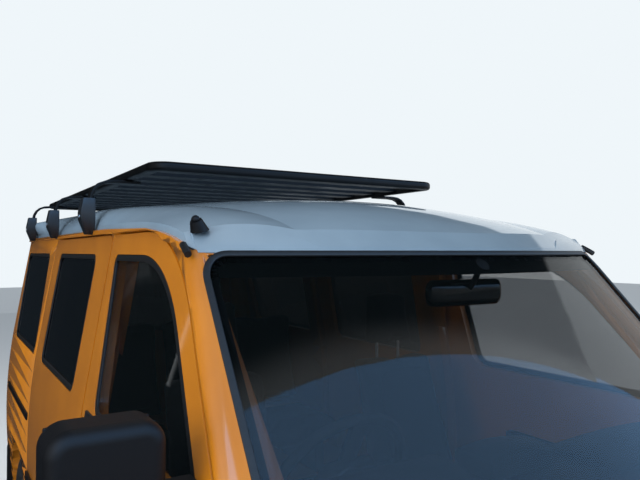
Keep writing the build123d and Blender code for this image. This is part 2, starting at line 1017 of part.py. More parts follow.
front_arch = cross_cylinder(front_axle_back, tyre_radius, arch_radius, -side_reach, side_reach)
rear_arch = cross_cylinder(rear_axle_back, tyre_radius, arch_radius, -side_reach, side_reach)
paint_region = above_paint()
screen_cut = end_prism(screen_rows(), -200, 1500).cut(behind_screen(wall + 20))

# Roof panel with the header above the windscreen
with BuildPart() as roof_panel:
    add(brow_form())
    add(roof_form(roof_skin), mode=Mode.SUBTRACT)
    add(paint_region, mode=Mode.INTERSECT)
    add(screen_cut, mode=Mode.SUBTRACT)
roof_panel.part.label = "roof_panel"
export_step(roof_panel.part, "parts/roof_panel.step")

# Body sides: sill, quarter, roof rail and inner door posts
side_front = door_front_back - seam
side_rear = 3950.0
front_door_prism = side_prism(front_door_rows())
slide_door_prism = side_prism(slide_door_rows())
quarter_window = side_prism(quarter_glass_rows())
drip_rail = overlap(side_prism(drip_rows()), body_form(-drip_proud).cut(body_form(seam, skin_reach)))
for side_name, side in sides:
    with BuildPart() as body_side:
        add(shell)
        add(block(-side_reach, side_reach, 0, side_rear, sill_z - 1, gutter_z + 1), mode=Mode.INTERSECT)
        add(half_space(side), mode=Mode.INTERSECT)
        add(block(-side_reach, side_reach, -200, side_front, 0, wing_top_z), mode=Mode.SUBTRACT)
        add(side_prism(front_door_rows(), seam), mode=Mode.SUBTRACT)
        add(side_prism(slide_door_rows(), seam), mode=Mode.SUBTRACT)
        jamb = overlap(jamb_shell, side_prism(jamb_rows()), half_space(side))
        for axle_back in (front_axle_back, rear_axle_back):
            jamb = jamb.cut(cross_cylinder(axle_back, tyre_radius, arch_radius + housing_skin + fit,
                                           -side_reach, side_reach))
        add(jamb)
        add(side_prism(front_door_rows(), -jamb_lip), mode=Mode.SUBTRACT)
        add(side_prism(slide_door_rows(), -jamb_lip), mode=Mode.SUBTRACT)
        add(front_arch, mode=Mode.SUBTRACT)
        add(rear_arch, mode=Mode.SUBTRACT)
        add(quarter_window, mode=Mode.SUBTRACT)
        add(screen_cut, mode=Mode.SUBTRACT)
        add(paint_region, mode=Mode.SUBTRACT)
        add(overlap(drip_rail, half_space(side)))
        add(side_prism(front_door_rows(), seam, side * 690, side * side_reach), mode=Mode.SUBTRACT)
        for station in runner_stations:
            near_x = side * (side_half(belt_z) - wall + seam)
            far_x = side * (sill_half - seam)
            add(shut_boss(near_x, far_x, station - 25, station + 25, door_low_z - seam - 2, door_low_z - fit))
    body_side.part.label = f"side_{side_name}"
    export_step(body_side.part, f"parts/side_{side_name}.step")

# Nose: wings and front panel, with room for the bonnet, lamps, grille and cowl panel
hinge_zone = body_form(4.0).cut(body_form(wall - seam, skin_reach))
nose_zone = block(-side_reach, side_reach, -200, side_front, 0, wing_top_z)
bonnet_prism = top_prism(bonnet_rows(), lip_z + 20, 1300)
bonnet_cut = top_prism(bonnet_rows(), lip_z + 20, 1300, seam)
cowl_prism = block(-cowl_half, cowl_half, bonnet_rear + seam, cowl_end_back, 990, screen_low_z - 1)
lamp_prisms = [end_prism(head_lamp_rows(side), -200, lamp_rear) for side_name, side in sides]
grille_prism = end_prism(grille_rows(), -200, 200)
with BuildPart() as nose:
    add(shell_part(nose_zone, shell))
    add(bonnet_cut, mode=Mode.SUBTRACT)
    add(cowl_prism, mode=Mode.SUBTRACT)
    add(front_arch, mode=Mode.SUBTRACT)
    add(grille_prism, mode=Mode.SUBTRACT)
    add(screen_cut, mode=Mode.SUBTRACT)
    for lamp_prism in lamp_prisms:
        add(lamp_prism, mode=Mode.SUBTRACT)
    for side_name, side in sides:
        for height in hinge_heights:
            add(overlap(shut_boss(side * (flank_half - wall - 5), side * (flank_half + 1), side_front - 2,
                                  door_front_back - fit, height - 30, height + 30), hinge_zone))
nose.part.label = "nose_panel"
export_step(nose.part, "parts/nose_panel.step")

# Cowl panel under the windscreen
with BuildPart() as cowl:
    add(shell_part(block(-cowl_half + fit, cowl_half - fit, bonnet_rear + seam, cowl_end_back, 990,
                         screen_low_z - 1 - fit), shell))
    add(screen_cut, mode=Mode.SUBTRACT)
    for across in bonnet_hinges:
        leaf = shut_boss(across - 25, across + 25, bonnet_rear + fit, bonnet_rear + seam + 2, 900, 1200)
        add(overlap(leaf, hinge_zone))
cowl.part.label = "cowl_panel"
export_step(cowl.part, "parts/cowl_panel.step")

# Bonnet
with BuildPart() as bonnet:
    add(shell_part(bonnet_prism, hood_shell))
bonnet.part.label = "bonnet"
export_step(bonnet.part, "parts/bonnet.step")

# Head lamps
with BuildPart() as head_lamps:
    for side_name, side in sides:
        add(shell_part(end_prism(head_lamp_rows(side), -200, lamp_rear - fit, -fit), outer.cut(body_form(lamp_deep, skin_reach))))
head_lamps.part.label = "head_lamps"
export_step(head_lamps.part, "parts/head_lamps.step")

# Grille: a frame with bars across
with BuildPart() as grille:
    grille_shell = outer.cut(body_form(grille_deep, skin_reach))
    add(shell_part(end_prism(grille_rows(), -200, 200, -fit), grille_shell,
                   end_prism(grille_rows(), -200, 200, -grille_frame)))
    for index in range(grille_bars):
        height = grille_low_z + (index + 1) * (grille_high_z - grille_low_z) / (grille_bars + 1)
        bar = block(-grille_half + 5, grille_half - 5, 0, 300, height - grille_bar / 2, height + grille_bar / 2)
        add(shell_part(bar, grille_shell))
grille.part.label = "grille"
export_step(grille.part, "parts/grille.step")

# Windscreen
with BuildPart() as windscreen:
    add(behind_screen(screen_inset).cut(behind_screen(screen_inset + glass_thick)))
    add(end_prism(screen_rows(), -200, 1500, -glass_gap), mode=Mode.INTERSECT)
windscreen.part.label = "windscreen"
export_step(windscreen.part, "parts/windscreen.step")

# Rear frame round the tailgate, with the tail lamps let in
gate_prism = end_prism(gate_rows(), 3800, 4200)
gate_cut = end_prism(gate_rows(), 3800, 4200, seam)
with BuildPart() as rear_frame:
    add(shell_part(block(-side_reach, side_reach, side_rear, length + 50, sill_z - 1, gutter_z), shell))
    add(gate_cut, mode=Mode.SUBTRACT)
    for side_name, side in sides:
        add(end_prism(tail_lamp_rows(side), side_rear - 1, 4200), mode=Mode.SUBTRACT)
    jamb_far = length - tail_gap - wall
    add(overlap(end_prism(gate_rows(), jamb_far - jamb_deep, jamb_far, jamb_lip), cavity))
    add(end_prism(gate_rows(), 3800, 4200, -jamb_lip / 2), mode=Mode.SUBTRACT)
    for across in gate_hinges:
        leaf = shut_boss(across - 30, across + 30, length - tail_gap - wall + seam, length - tail_gap - 4,
                         gate_top_z + fit, gate_top_z + seam + 2)
        add(leaf)
rear_frame.part.label = "rear_frame"
export_step(rear_frame.part, "parts/rear_frame.step")

# Tail lamps
with BuildPart() as tail_lamps:
    for side_name, side in sides:
        add(shell_part(end_prism(tail_lamp_rows(side), side_rear + fit, 4200, -fit),
                       outer.cut(body_form(lamp_deep, skin_reach))))
tail_lamps.part.label = "tail_lamps"
export_step(tail_lamps.part, "parts/tail_lamps.step")

# Tailgate and its glass
gate_window = end_prism(gate_glass_rows(), 3800, 4200)
with BuildPart() as tailgate:
    add(shell_part(gate_prism, door_shell, gate_window))
tailgate.part.label = "tailgate"
export_step(tailgate.part, "parts/tailgate.step")

with BuildPart() as tailgate_glass:
    add(shell_part(end_prism(gate_glass_rows(), 3900, 4200, -glass_gap), glass_shell))
tailgate_glass.part.label = "tailgate_glass"
export_step(tailgate_glass.part, "parts/tailgate_glass.step")

# Sliding doors and the fixed side glass
with BuildPart() as sliding_doors:
    slide_window = side_prism(slide_glass_rows())
    add(shell_part(slide_door_prism, flank_shell, slide_window))
sliding_doors.part.label = "sliding_doors"
export_step(sliding_doors.part, "parts/sliding_doors.step")

with BuildPart() as side_glass:
    add(shell_part(side_prism(slide_glass_rows(), -glass_gap), glass_shell))
    add(shell_part(side_prism(quarter_glass_rows(), -glass_gap), glass_shell))
side_glass.part.label = "side_glass"
export_step(side_glass.part, "parts/side_glass.step")

# Sliding door rails on the quarter panels
with BuildPart() as slide_rails:
    rail_zone = side_prism(
        (
            (slide_rear_back + 25, rail_z - rail_high / 2, 0.0),
            (rail_end_back, rail_z - rail_high / 2, 0.0),
            (rail_end_back, rail_z + rail_high / 2, 0.0),
            (slide_rear_back + 25, rail_z + rail_high / 2, 0.0),
        )
    )
    add(shell_part(rail_zone, body_form(-rail_proud, 0).cut(body_form(-fit, skin_reach))))
slide_rails.part.label = "slide_rails"
export_step(slide_rails.part, "parts/slide_rails.step")

# Front doors with their glass and mirrors
front_window = side_prism(front_glass_rows())
front_door_solid = shell_part(front_door_prism, flank_shell, front_window, front_arch)
front_glass_solid = shell_part(side_prism(front_glass_rows(), -glass_gap), glass_shell)
for side_name, side in sides:
    with BuildPart() as door:
        add(front_door_solid)
        add(half_space(side), mode=Mode.INTERSECT)
    door.part.label = f"door_{side_name}"
    export_step(door.part, f"parts/door_{side_name}.step")

    with BuildPart() as door_glass:
        add(front_glass_solid)
        add(half_space(side), mode=Mode.INTERSECT)
    door_glass.part.label = f"door_glass_{side_name}"
    export_step(door_glass.part, f"parts/door_glass_{side_name}.step")

    with BuildPart() as mirror_unit:
        housing_x = side * mirror_x
        with Locations((housing_x, back(mirror_back), mirror_z)):
            Box(mirror_wide, mirror_deep, mirror_high)
        fillet(mirror_unit.edges().filter_by(Axis.Y), mirror_round)
        fillet(mirror_unit.faces().sort_by(Axis.Y)[0].edges(), mirror_round * 0.6)
        arm_inner = side * (side_half(mirror_arm_z) - 12)
        with BuildSketch(Plane.YZ.offset(arm_inner)):
            with Locations((back(mirror_back + 10), mirror_arm_z)):
                RectangleRounded(mirror_foot, mirror_foot * 0.8, 10)
        extrude(amount=housing_x - arm_inner)
        add(body_form(-fit, skin_reach), mode=Mode.SUBTRACT)
    mirror_unit.part.label = f"mirror_{side_name}"
    export_step(mirror_unit.part, f"parts/mirror_{side_name}.step")

# Bumpers: wrapped beams over the ends
with BuildPart() as front_bumper:
    add(bumper_beam(0.0, bumper_wrap, nose_bow))
    add(body_form(-fit, skin_reach), mode=Mode.SUBTRACT)
    add(block(-plate_half, plate_half, -10, plate_sink, plate_low_z, plate_high_z), mode=Mode.SUBTRACT)
    with Locations(Plane(origin=(0, back(plate_sink), (plate_low_z + plate_high_z) / 2), x_dir=(1, 0, 0), z_dir=(0, -1, 0))):
        with GridLocations(plate_pitch, 0, 2, 1):
            Hole(plate_hole, plate_hole_deep)
front_bumper.part.label = "front_bumper"
export_step(front_bumper.part, "parts/front_bumper.step")

with BuildPart() as rear_bumper:
    add(bumper_beam(0.0, rear_wrap, rear_bow).rotate(Axis.Z, 180))
    add(body_form(-fit, skin_reach), mode=Mode.SUBTRACT)
rear_bumper.part.label = "rear_bumper"
export_step(rear_bumper.part, "parts/rear_bumper.step")

# Floor with wheel housings, sill skirts, engine cover and strut towers
with BuildPart() as floor_pan:
    add(block(-side_reach, side_reach, floor_front, floor_rear, floor_z - floor_thick, floor_z))
    add(cabin, mode=Mode.INTERSECT)
    skirt = cabin.cut(body_form(wall + fit + skirt_thick, 300.0))
    skirt_near = front_axle_back + arch_radius
    skirt_far = rear_axle_back - arch_radius
    add(overlap(skirt, block(-side_reach, side_reach, skirt_near, skirt_far, sill_z, floor_z - 1)))
    for side_name, side in sides:
        for axle_back, inner in ((front_axle_back, housing_inner), (rear_axle_back, rear_housing_inner)):
            dome = cross_cylinder(axle_back, tyre_radius, arch_radius + housing_skin, inner - housing_skin, side_reach)
            dome = overlap(dome, block(0, side_reach, 0, length, housing_low_z, 2000), cabin)
            hollow = cross_cylinder(axle_back, tyre_radius, arch_radius, inner, side_reach)
            add(dome if side > 0 else mirrored(dome))
            add(hollow if side > 0 else mirrored(hollow), mode=Mode.SUBTRACT)
        tower_low = tyre_radius + arch_radius - 5
        with Locations((side * tower_x, back(front_axle_back), (tower_z + tower_low) / 2)):
            Cylinder(tower_radius, tower_z - tower_low)
        with Locations((side * tower_x, back(front_axle_back), (tower_z + tower_low) / 2 - housing_skin)):
            Cylinder(tower_radius - housing_skin, tower_z - tower_low, mode=Mode.SUBTRACT)
    add(block(-cover_half, cover_half, cover_front, cover_rear, floor_z - floor_thick, cover_z))
    add(block(-cover_half + housing_skin, cover_half - housing_skin, cover_front + housing_skin,
              cover_rear - housing_skin, floor_z - 2 * floor_thick, cover_z - housing_skin), mode=Mode.SUBTRACT)
floor_pan.part.label = "floor_pan"
export_step(floor_pan.part, "parts/floor_pan.step")

# Chassis rails with cross members
with BuildPart() as chassis_rails:
    for side_name, side in sides:
        rail_x = side * (rail_inner + rail_outer) / 2
        with Locations((rail_x, back((rail_front + rail_rear) / 2), (rail_low_z + rail_high_z) / 2)):
            Box(rail_outer - rail_inner, rail_rear - rail_front, rail_high_z - rail_low_z)
    for station in cross_stations:
        with Locations((0, back(station), rail_high_z - cross_high / 2)):
            Box(2 * rail_inner, cross_wide, cross_high)
chassis_rails.part.label = "chassis_rails"
export_step(chassis_rails.part, "parts/chassis_rails.step")

# Engine and gearbox as plain masses with the propeller shaft
with BuildPart() as powertrain:
    with Locations((0, back((engine_front + engine_rear) / 2), (engine_low_z + engine_high_z) / 2)):
        Box(2 * engine_half, engine_rear - engine_front, engine_high_z - engine_low_z)
    fillet(powertrain.edges().filter_by(Axis.Y), 30)
    with BuildSketch(Plane.XZ.offset(-back(engine_rear))):
        with Locations((0, shaft_z)):
            Circle(gearbox_radius)
    with BuildSketch(Plane.XZ.offset(-back(engine_rear + gearbox_long))):
        with Locations((0, shaft_z)):
            Circle(gearbox_radius * 0.5)
    loft()
    with BuildSketch(Plane.XZ.offset(-back(rear_axle_back - diff_radius + 20))):
        with Locations((0, shaft_z)):
            Circle(shaft_radius)
    extrude(amount=rear_axle_back - diff_radius + 20 - engine_rear - gearbox_long + 10)
powertrain.part.label = "powertrain"
export_step(powertrain.part, "parts/powertrain.step")

# Rear axle with its casing, drums and leaf springs
with BuildPart() as rear_axle:
    with Locations(Location((0, back(rear_axle_back), tyre_radius), (0, 90, 0))):
        Cylinder(axle_radius, 2 * drum_inner)
        Cylinder(hub_radius, 2 * (track_half + hub_face))
    with Locations((0, back(rear_axle_back), tyre_radius)):
        Sphere(diff_radius)
    for side_name, side in sides:
        drum_x = side * (drum_inner + drum_wide / 2)
        with Locations(Location((drum_x, back(rear_axle_back), tyre_radius), (0, 90, 0))):
            Cylinder(drum_radius, drum_wide)
    shaft_end = end_prism(((-60, shaft_z - 60, 0), (60, shaft_z - 60, 0), (60, shaft_z + 60, 0), (-60, shaft_z + 60, 0)),
                          0, rear_axle_back - diff_radius + 20)
    add(shaft_end, mode=Mode.SUBTRACT)
    for side_name, side in sides:
        spring_x = side * (rail_inner + rail_outer) / 2
        with BuildSketch(Plane.YZ.offset(spring_x - spring_wide / 2)):
            with BuildLine():
                low = tyre_radius + axle_radius - 2
                near = (back(rear_axle_back - spring_half), rail_low_z)
                far = (back(rear_axle_back + spring_half), rail_low_z)
                top = ThreePointArc(near, (back(rear_axle_back), low + spring_thick), far)
                drop = Line(top @ 1, (far[0], rail_low_z - spring_thick))
                under = ThreePointArc(drop @ 1, (back(rear_axle_back), low), (near[0], rail_low_z - spring_thick))
                Line(under @ 1, top @ 0)
            make_face()
        extrude(amount=spring_wide)
rear_axle.part.label = "rear_axle"
export_step(rear_axle.part, "parts/rear_axle.step")

# Front suspension: cross member, lower arms, rack and struts
mount_z = tower_z - housing_skin - fit
with BuildPart() as front_suspension:
    with Locations((0, back(front_axle_back), arm_z + 15)):
        Box(2 * rail_outer, beam_wide, beam_high)
    for side_name, side in sides:
        rail_x = side * (rail_inner + rail_outer) / 2
        with Locations((rail_x, back(front_axle_back), (arm_z + rail_low_z) / 2)):
            Box(post_wide, beam_wide, rail_low_z - arm_z)
        with Locations((side * (rail_outer + king_x(arm_z)) / 2, back(front_axle_back), arm_z)):
            Box(king_x(arm_z) - rail_outer + 40, arm_wide, arm_thick)
        add(king_rod(side, strut_low_z, mount_z - cap_thick / 2, strut_radius))
        add(king_rod(side, spring_low_z, mount_z - cap_thick / 2, coil_core))
        with Locations((side * king_x(mount_z), back(front_axle_back), mount_z - cap_thick / 2)):
            Cylinder(coil_radius, cap_thick)
        for index in range(coils):
            height = spring_low_z + 12 + index * coil_pitch
            add(king_ring(side, height))
    with Locations(Location((0, back(front_axle_back + rack_behind), rack_z), (0, 90, 0))):
        Cylinder(rack_radius, 2 * (rail_inner - fit))
front_suspension.part.label = "front_suspension"
export_step(front_suspension.part, "parts/front_suspension.step")

# Front knuckles with disc and stub, turning about the kingpin line
for side_name, side in sides:
    with BuildPart() as knuckle:
        with Locations(Location((side * (king_x(tyre_radius) + 10), back(front_axle_back), tyre_radius), (0, 90, 0))):
            Cylinder(carrier_radius, 60)
        stub_long = track_half + hub_face - king_x(tyre_radius)
        with Locations(Location((side * (king_x(tyre_radius) + stub_long / 2), back(front_axle_back), tyre_radius), (0, 90, 0))):
            Cylinder(hub_radius, stub_long)
        with Locations(Location((side * disc_x, back(front_axle_back), tyre_radius), (0, 90, 0))):
            Cylinder(disc_radius, disc_thick)
        add(king_rod(side, arm_z + arm_thick / 2 + arm_gap, strut_low_z - fit, upright_radius))
    knuckle.part.label = f"knuckle_{side_name}"
    export_step(knuckle.part, f"parts/knuckle_{side_name}.step")

# Road wheels: one rim and one tyre at each corner
corners = (
    ("front_left", 1, front_axle_back),
    ("front_right", -1, front_axle_back),
    ("rear_left", 1, rear_axle_back),
    ("rear_right", -1, rear_axle_back),
)
for corner_name, side, axle_back in corners:
    hub_plane = Plane(origin=(side * track_half, back(axle_back), tyre_radius), x_dir=(side, 0, 0), z_dir=(0, -side, 0))
    with BuildPart() as rim:
        with BuildSketch(hub_plane):
            with BuildLine():
                Polyline(*rim_rows(), close=True)
            make_face()
        revolve(axis=Axis(hub_plane.origin, (1, 0, 0)))
        with Locations(Location(hub_plane.origin, (0, 90, 0))):
            with Locations((0, 0, side * (hub_face + cap_high / 2))):
                Cylinder(cap_radius, cap_high)
            with PolarLocations(vent_ring, vents):
                Cylinder(vent_radius, 2 * tyre_width, mode=Mode.SUBTRACT)
    rim.part.label = f"rim_{corner_name}"
    export_step(rim.part, f"parts/rim_{corner_name}.step")

    with BuildPart() as tyre:
        with BuildSketch(hub_plane):
            with BuildLine():
                closed_outline(tyre_rows())
            make_face()
        revolve(axis=Axis(hub_plane.origin, (1, 0, 0)))
    tyre.part.label = f"tyre_{corner_name}"
    export_step(tyre.part, f"parts/tyre_{corner_name}.step")

# Dashboard with a hood over the dials on the driver's side
with BuildPart() as dashboard:
    add(side_prism(dash_rows(), 0, -dash_half, dash_half))
    add(side_prism(dial_hood_rows(), 0, steering_x - dial_half, steering_x + dial_half))
    add(behind_screen(wall + 15), mode=Mode.INTERSECT)
    add(body_form(wall + jamb_deep + fit, skin_reach), mode=Mode.INTERSECT)
dashboard.part.label = "dashboard"
export_step(dashboard.part, "parts/dashboard.step")

# Steering wheel with its column stub, and the column that carries it
with BuildPart() as steering_wheel:
    with Locations(steering_plane(0).location):
        Torus(steering_radius - steering_rim, steering_rim)
    with BuildSketch(steering_plane(-hub_drop)):
        Circle(hub_disc)
    extrude(amount=hub_drop)
    for angle in spoke_angles:
        with BuildSketch(steering_plane(-spoke_thick)):
            with Locations(Location((0, 0, 0), (0, 0, angle))):
                with Locations((0, (steering_radius - steering_rim) / 2)):
                    Rectangle(spoke_wide, steering_radius - steering_rim)
        extrude(amount=spoke_thick)
steering_wheel.part.label = "steering_wheel"
export_step(steering_wheel.part, "parts/steering_wheel.step")

with BuildPart() as steering_column:
    with BuildSketch(steering_plane(-hub_drop - fit)):
        Circle(column_radius)
    extrude(amount=-column_long)
    add(dashboard.part, mode=Mode.SUBTRACT)
steering_column.part.label = "steering_column"
export_step(steering_column.part, "parts/steering_column.step")

# Front seats: cushion, back and head restraint in one soft form each
with BuildPart() as front_seats:
    for side_name, side in sides:
        add(seat_form(side * seat_x, seat_wide, head_wide))
front_seats.part.label = "front_seats"
export_step(front_seats.part, "parts/front_seats.step")

with BuildPart() as seat_bases:
    for side_name, side in sides:
        with Locations((side * seat_x, back(seat_front + seat_deep / 2), (floor_z + seat_low_z) / 2)):
            Box(seat_wide - 60, seat_deep - 60, seat_low_z - floor_z - 2 * fit)
    add(block(-cover_half - fit, cover_half + fit, cover_front - fit, cover_rear + fit, floor_z - 10, cover_z + fit),
        mode=Mode.SUBTRACT)
seat_bases.part.label = "seat_bases"
export_step(seat_bases.part, "parts/seat_bases.step")

# Rear bench
with BuildPart() as rear_bench:
    add(side_prism(bench_rows(), 0, -bench_half, bench_half))
rear_bench.part.label = "rear_bench"
export_step(rear_bench.part, "parts/rear_bench.step")

with BuildPart() as bench_legs:
    for across in (-bench_half + 120, bench_half - 120):
        add(block(across - 25, across + 25, bench_front + 40, bench_front + 400, floor_z + fit, bench_low_z - fit))
bench_legs.part.label = "bench_legs"
export_step(bench_legs.part, "parts/bench_legs.step")

# Roof rack: frame, slats, legs and gutter clamps
with BuildPart() as rack_frame:
    low = rack_top_z - rack_tube_high
    with BuildSketch(Plane.XY.offset(low)):
        with Locations((0, back((rack_front + rack_rear) / 2))):
            RectangleRounded(2 * rack_half, rack_rear - rack_front, rack_corner)
            RectangleRounded(2 * (rack_half - rack_tube_wide), rack_rear - rack_front - 2 * rack_tube_wide,
                             rack_corner - rack_tube_wide, mode=Mode.SUBTRACT)
    extrude(amount=rack_tube_high)
    outside = rack_frame.faces().sort_by(Axis.Z)[-1].outer_wire().edges() + rack_frame.faces().sort_by(Axis.Z)[0].outer_wire().edges()
    fillet(outside, rack_nose)
    first = rack_front + rack_tube_wide + slat_gap + slat_wide / 2
    pitch = (rack_rear - rack_tube_wide - slat_gap - slat_wide / 2 - first) / (rack_slats - 1)
    for index in range(rack_slats):
        with Locations((0, back(first + index * pitch), low + slat_drop + slat_thick / 2)):
            Box(2 * (rack_half - rack_tube_wide + 2), slat_wide, slat_thick)
rack_frame.part.label = "rack_frame"
export_step(rack_frame.part, "parts/rack_frame.step")

with BuildPart() as rack_legs:
    for side_name, side in sides:
        for station in leg_stations:
            add(rack_leg(side, station))
rack_legs.part.label = "rack_legs"
export_step(rack_legs.part, "parts/rack_legs.step")

# Aerial base: a rubber foot, a tapered housing and the ball that the mast screws into
with BuildPart() as aerial_base:
    foot = Plane(origin=(-aerial_x, back(aerial_back), aerial_z), x_dir=(0.9, 0, 0.44), z_dir=aerial_lean)
    low_in = (Align.CENTER, Align.CENTER, Align.MIN)
    with Locations(foot.location):
        Cylinder(aerial_foot_radius, aerial_foot_high, align=low_in)
    with Locations(foot.offset(aerial_foot_high - 2).location):
        Cone(aerial_low_radius, aerial_top_radius, aerial_high, align=low_in)
    with Locations(foot.offset(aerial_foot_high + aerial_high).location):
        Sphere(aerial_ball_radius)
    add(roof_form(-fit), mode=Mode.SUBTRACT)
aerial_base.part.label = "aerial_base"
export_step(aerial_base.part, "parts/aerial_base.step")

# Wipers
with BuildPart() as wipers:
    for pivot_x in wiper_pivots:
        add(wiper(pivot_x))
wipers.part.label = "wipers"
export_step(wipers.part, "parts/wipers.step")

# Inside mirror on its stem and sun visors under the header
with BuildPart() as cabin_trim:
    place = screen_point(inside_mirror_x, inside_mirror_z, 0)
    with Locations((inside_mirror_x, place.Y + inside_mirror_behind, inside_mirror_z)):
        Box(inside_mirror_wide, inside_mirror_deep, inside_mirror_high)
    fillet(cabin_trim.edges().filter_by(Axis.Y), 24)
    with BuildSketch(screen_plane(inside_mirror_x, inside_mirror_z + stem_rise, screen_inset + glass_thick + fit)):
        Circle(9)
    extrude(amount=-stem_long)
    for side_name, side in sides:
        with BuildSketch(screen_plane(side * visor_x, visor_z, visor_behind)):
            RectangleRounded(visor_wide, visor_high, 25)
        extrude(amount=-visor_thick)
        visor_spot = screen_point(side * visor_x, visor_z, visor_behind + visor_thick / 2)
        add(overlap(slope_rod(visor_spot, visor_post_long), roof_form(roof_skin + fit)))
cabin_trim.part.label = "cabin_trim"
export_step(cabin_trim.part, "parts/cabin_trim.step")

# Exhaust and fuel tank
with BuildPart() as exhaust:
    with BuildLine() as pipe_line:
        FilletPolyline(*[(across, back(distance), height) for across, distance, height in pipe_points], radius=pipe_bend)
    with BuildSketch(Plane(origin=pipe_line.line @ 0, z_dir=pipe_line.line % 0)):
        Circle(pipe_radius)
    sweep()
    with Locations(Location((pipe_points[0][0], back(muffler_back), pipe_points[0][2]), (90, 0, 0))):
        Cylinder(muffler_radius, muffler_long)
    hanger_top = floor_z - floor_thick - fit
    for distance, height in hanger_places:
        with Locations((pipe_points[0][0], back(distance), (height + hanger_top) / 2)):
            Box(hanger_wide, hanger_wide, hanger_top - height)
exhaust.part.label = "exhaust"
export_step(exhaust.part, "parts/exhaust.step")

with BuildPart() as fuel_tank:
    with Locations((-tank_x, back(tank_back), (tank_low_z + floor_z - floor_thick - fit) / 2)):
        Box(tank_wide, tank_long, floor_z - floor_thick - fit - tank_low_z)
    fillet(fuel_tank.edges().filter_by(Axis.Y), 30)
fuel_tank.part.label = "fuel_tank"
export_step(fuel_tank.part, "parts/fuel_tank.step")
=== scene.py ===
# %% [markdown]
# # A small van with a slatted roof rack
# The van is seen from just in front of its right front corner, at a standing person's eye height.
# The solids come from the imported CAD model, so every sheet-metal shape is already in its real place.
# Here they get their paint, glass and rubber, and the pieces that CAD leaves plain: seals, tread, lamps and seats.

import json
import math

import bmesh
import bpy
from mathutils import Matrix, Vector


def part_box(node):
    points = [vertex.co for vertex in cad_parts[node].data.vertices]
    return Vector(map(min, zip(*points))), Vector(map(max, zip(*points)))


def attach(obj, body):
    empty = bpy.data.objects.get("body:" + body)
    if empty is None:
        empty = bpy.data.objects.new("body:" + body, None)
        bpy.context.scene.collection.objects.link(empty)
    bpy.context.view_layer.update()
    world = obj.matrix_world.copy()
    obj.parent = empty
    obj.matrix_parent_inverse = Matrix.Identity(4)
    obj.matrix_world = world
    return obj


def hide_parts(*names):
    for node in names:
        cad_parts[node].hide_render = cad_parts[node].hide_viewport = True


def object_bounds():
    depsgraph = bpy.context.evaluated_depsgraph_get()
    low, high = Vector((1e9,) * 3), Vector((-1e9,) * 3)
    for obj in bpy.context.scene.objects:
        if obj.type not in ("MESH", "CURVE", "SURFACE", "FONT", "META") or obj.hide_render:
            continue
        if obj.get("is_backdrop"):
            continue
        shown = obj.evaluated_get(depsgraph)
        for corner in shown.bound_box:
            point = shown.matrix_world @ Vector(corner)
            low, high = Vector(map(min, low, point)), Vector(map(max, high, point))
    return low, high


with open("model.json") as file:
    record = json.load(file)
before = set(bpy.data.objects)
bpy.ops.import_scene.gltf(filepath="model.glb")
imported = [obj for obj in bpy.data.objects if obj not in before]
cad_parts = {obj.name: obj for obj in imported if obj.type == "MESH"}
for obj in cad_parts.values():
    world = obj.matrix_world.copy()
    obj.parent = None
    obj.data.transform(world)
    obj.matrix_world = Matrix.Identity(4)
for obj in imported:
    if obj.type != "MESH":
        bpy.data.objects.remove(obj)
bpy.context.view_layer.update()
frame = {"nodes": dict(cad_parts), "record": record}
nodes = frame["nodes"]
van_length = 4.065


def rounded_off(numbers):
    """Numbers to the millimetre, for printing."""
    return tuple(round(number, 3) for number in numbers)


def back(behind):
    """Y of a place that many metres behind the front bumper's face."""
    return behind - van_length / 2


# %% [markdown]
# ## Camera
# The photographer stood at the right front corner and looked across the windscreen.
# The lens is worked out from the picture: 613 pixels of focal length on a frame 640 pixels wide is a 34.5 mm lens.
# The camera is aimed with a direction vector, which is easier to check against the photograph than three angles.

# %% Camera
eye = Vector((-1.19, -2.145, 1.68))
turn, rise = math.radians(32.0), math.radians(1.1)
look = Vector((math.sin(turn) * math.cos(rise), math.cos(turn) * math.cos(rise), math.sin(rise)))
camera_data = bpy.data.cameras.new("eye_level_camera")
sensor_mm, focal_px, frame_px = 36.0, 613.0, 640.0
camera_data.lens = sensor_mm * focal_px / frame_px
camera_data.clip_start = 0.02
camera = bpy.data.objects.new("eye_level_camera", camera_data)
bpy.context.scene.collection.objects.link(camera)
camera.location = eye
camera.rotation_mode = "QUATERNION"
camera.rotation_quaternion = look.to_track_quat("-Z", "Y")
bpy.context.scene.camera = camera
print("camera lens", round(camera_data.lens, 2), "mm")

# %% [markdown]
# ## Floor, sky and lamps
# A pale floor and an even pale sky stand in for a studio. Two broad lamps give the paint a soft highlight each.
# Light Path keeps the background plain white for the camera and for reflections without adding light to the van.

# %% Colour and node helpers
scene = bpy.context.scene
scene.view_settings.view_transform = "Standard"


def linear(code, alpha=1.0):
    """Linear colour from an sRGB hex code."""
    parts = [int(code[i:i + 2], 16) / 255 for i in (1, 3, 5)]
    return tuple(p / 12.92 if p <= 0.04045 else ((p + 0.055) / 1.055) ** 2.4 for p in parts) + (alpha,)


def add_node(tree, kind, settings=None, links=None):
    """Add one node, set its properties, and set or join its inputs by name."""
    made = tree.nodes.new(kind)
    for name, value in (settings or {}).items():
        setattr(made, name, value)
    for name, value in (links or {}).items():
        if isinstance(value, bpy.types.NodeSocket):
            tree.links.new(value, made.inputs[name])
        else:
            made.inputs[name].default_value = value
    return made


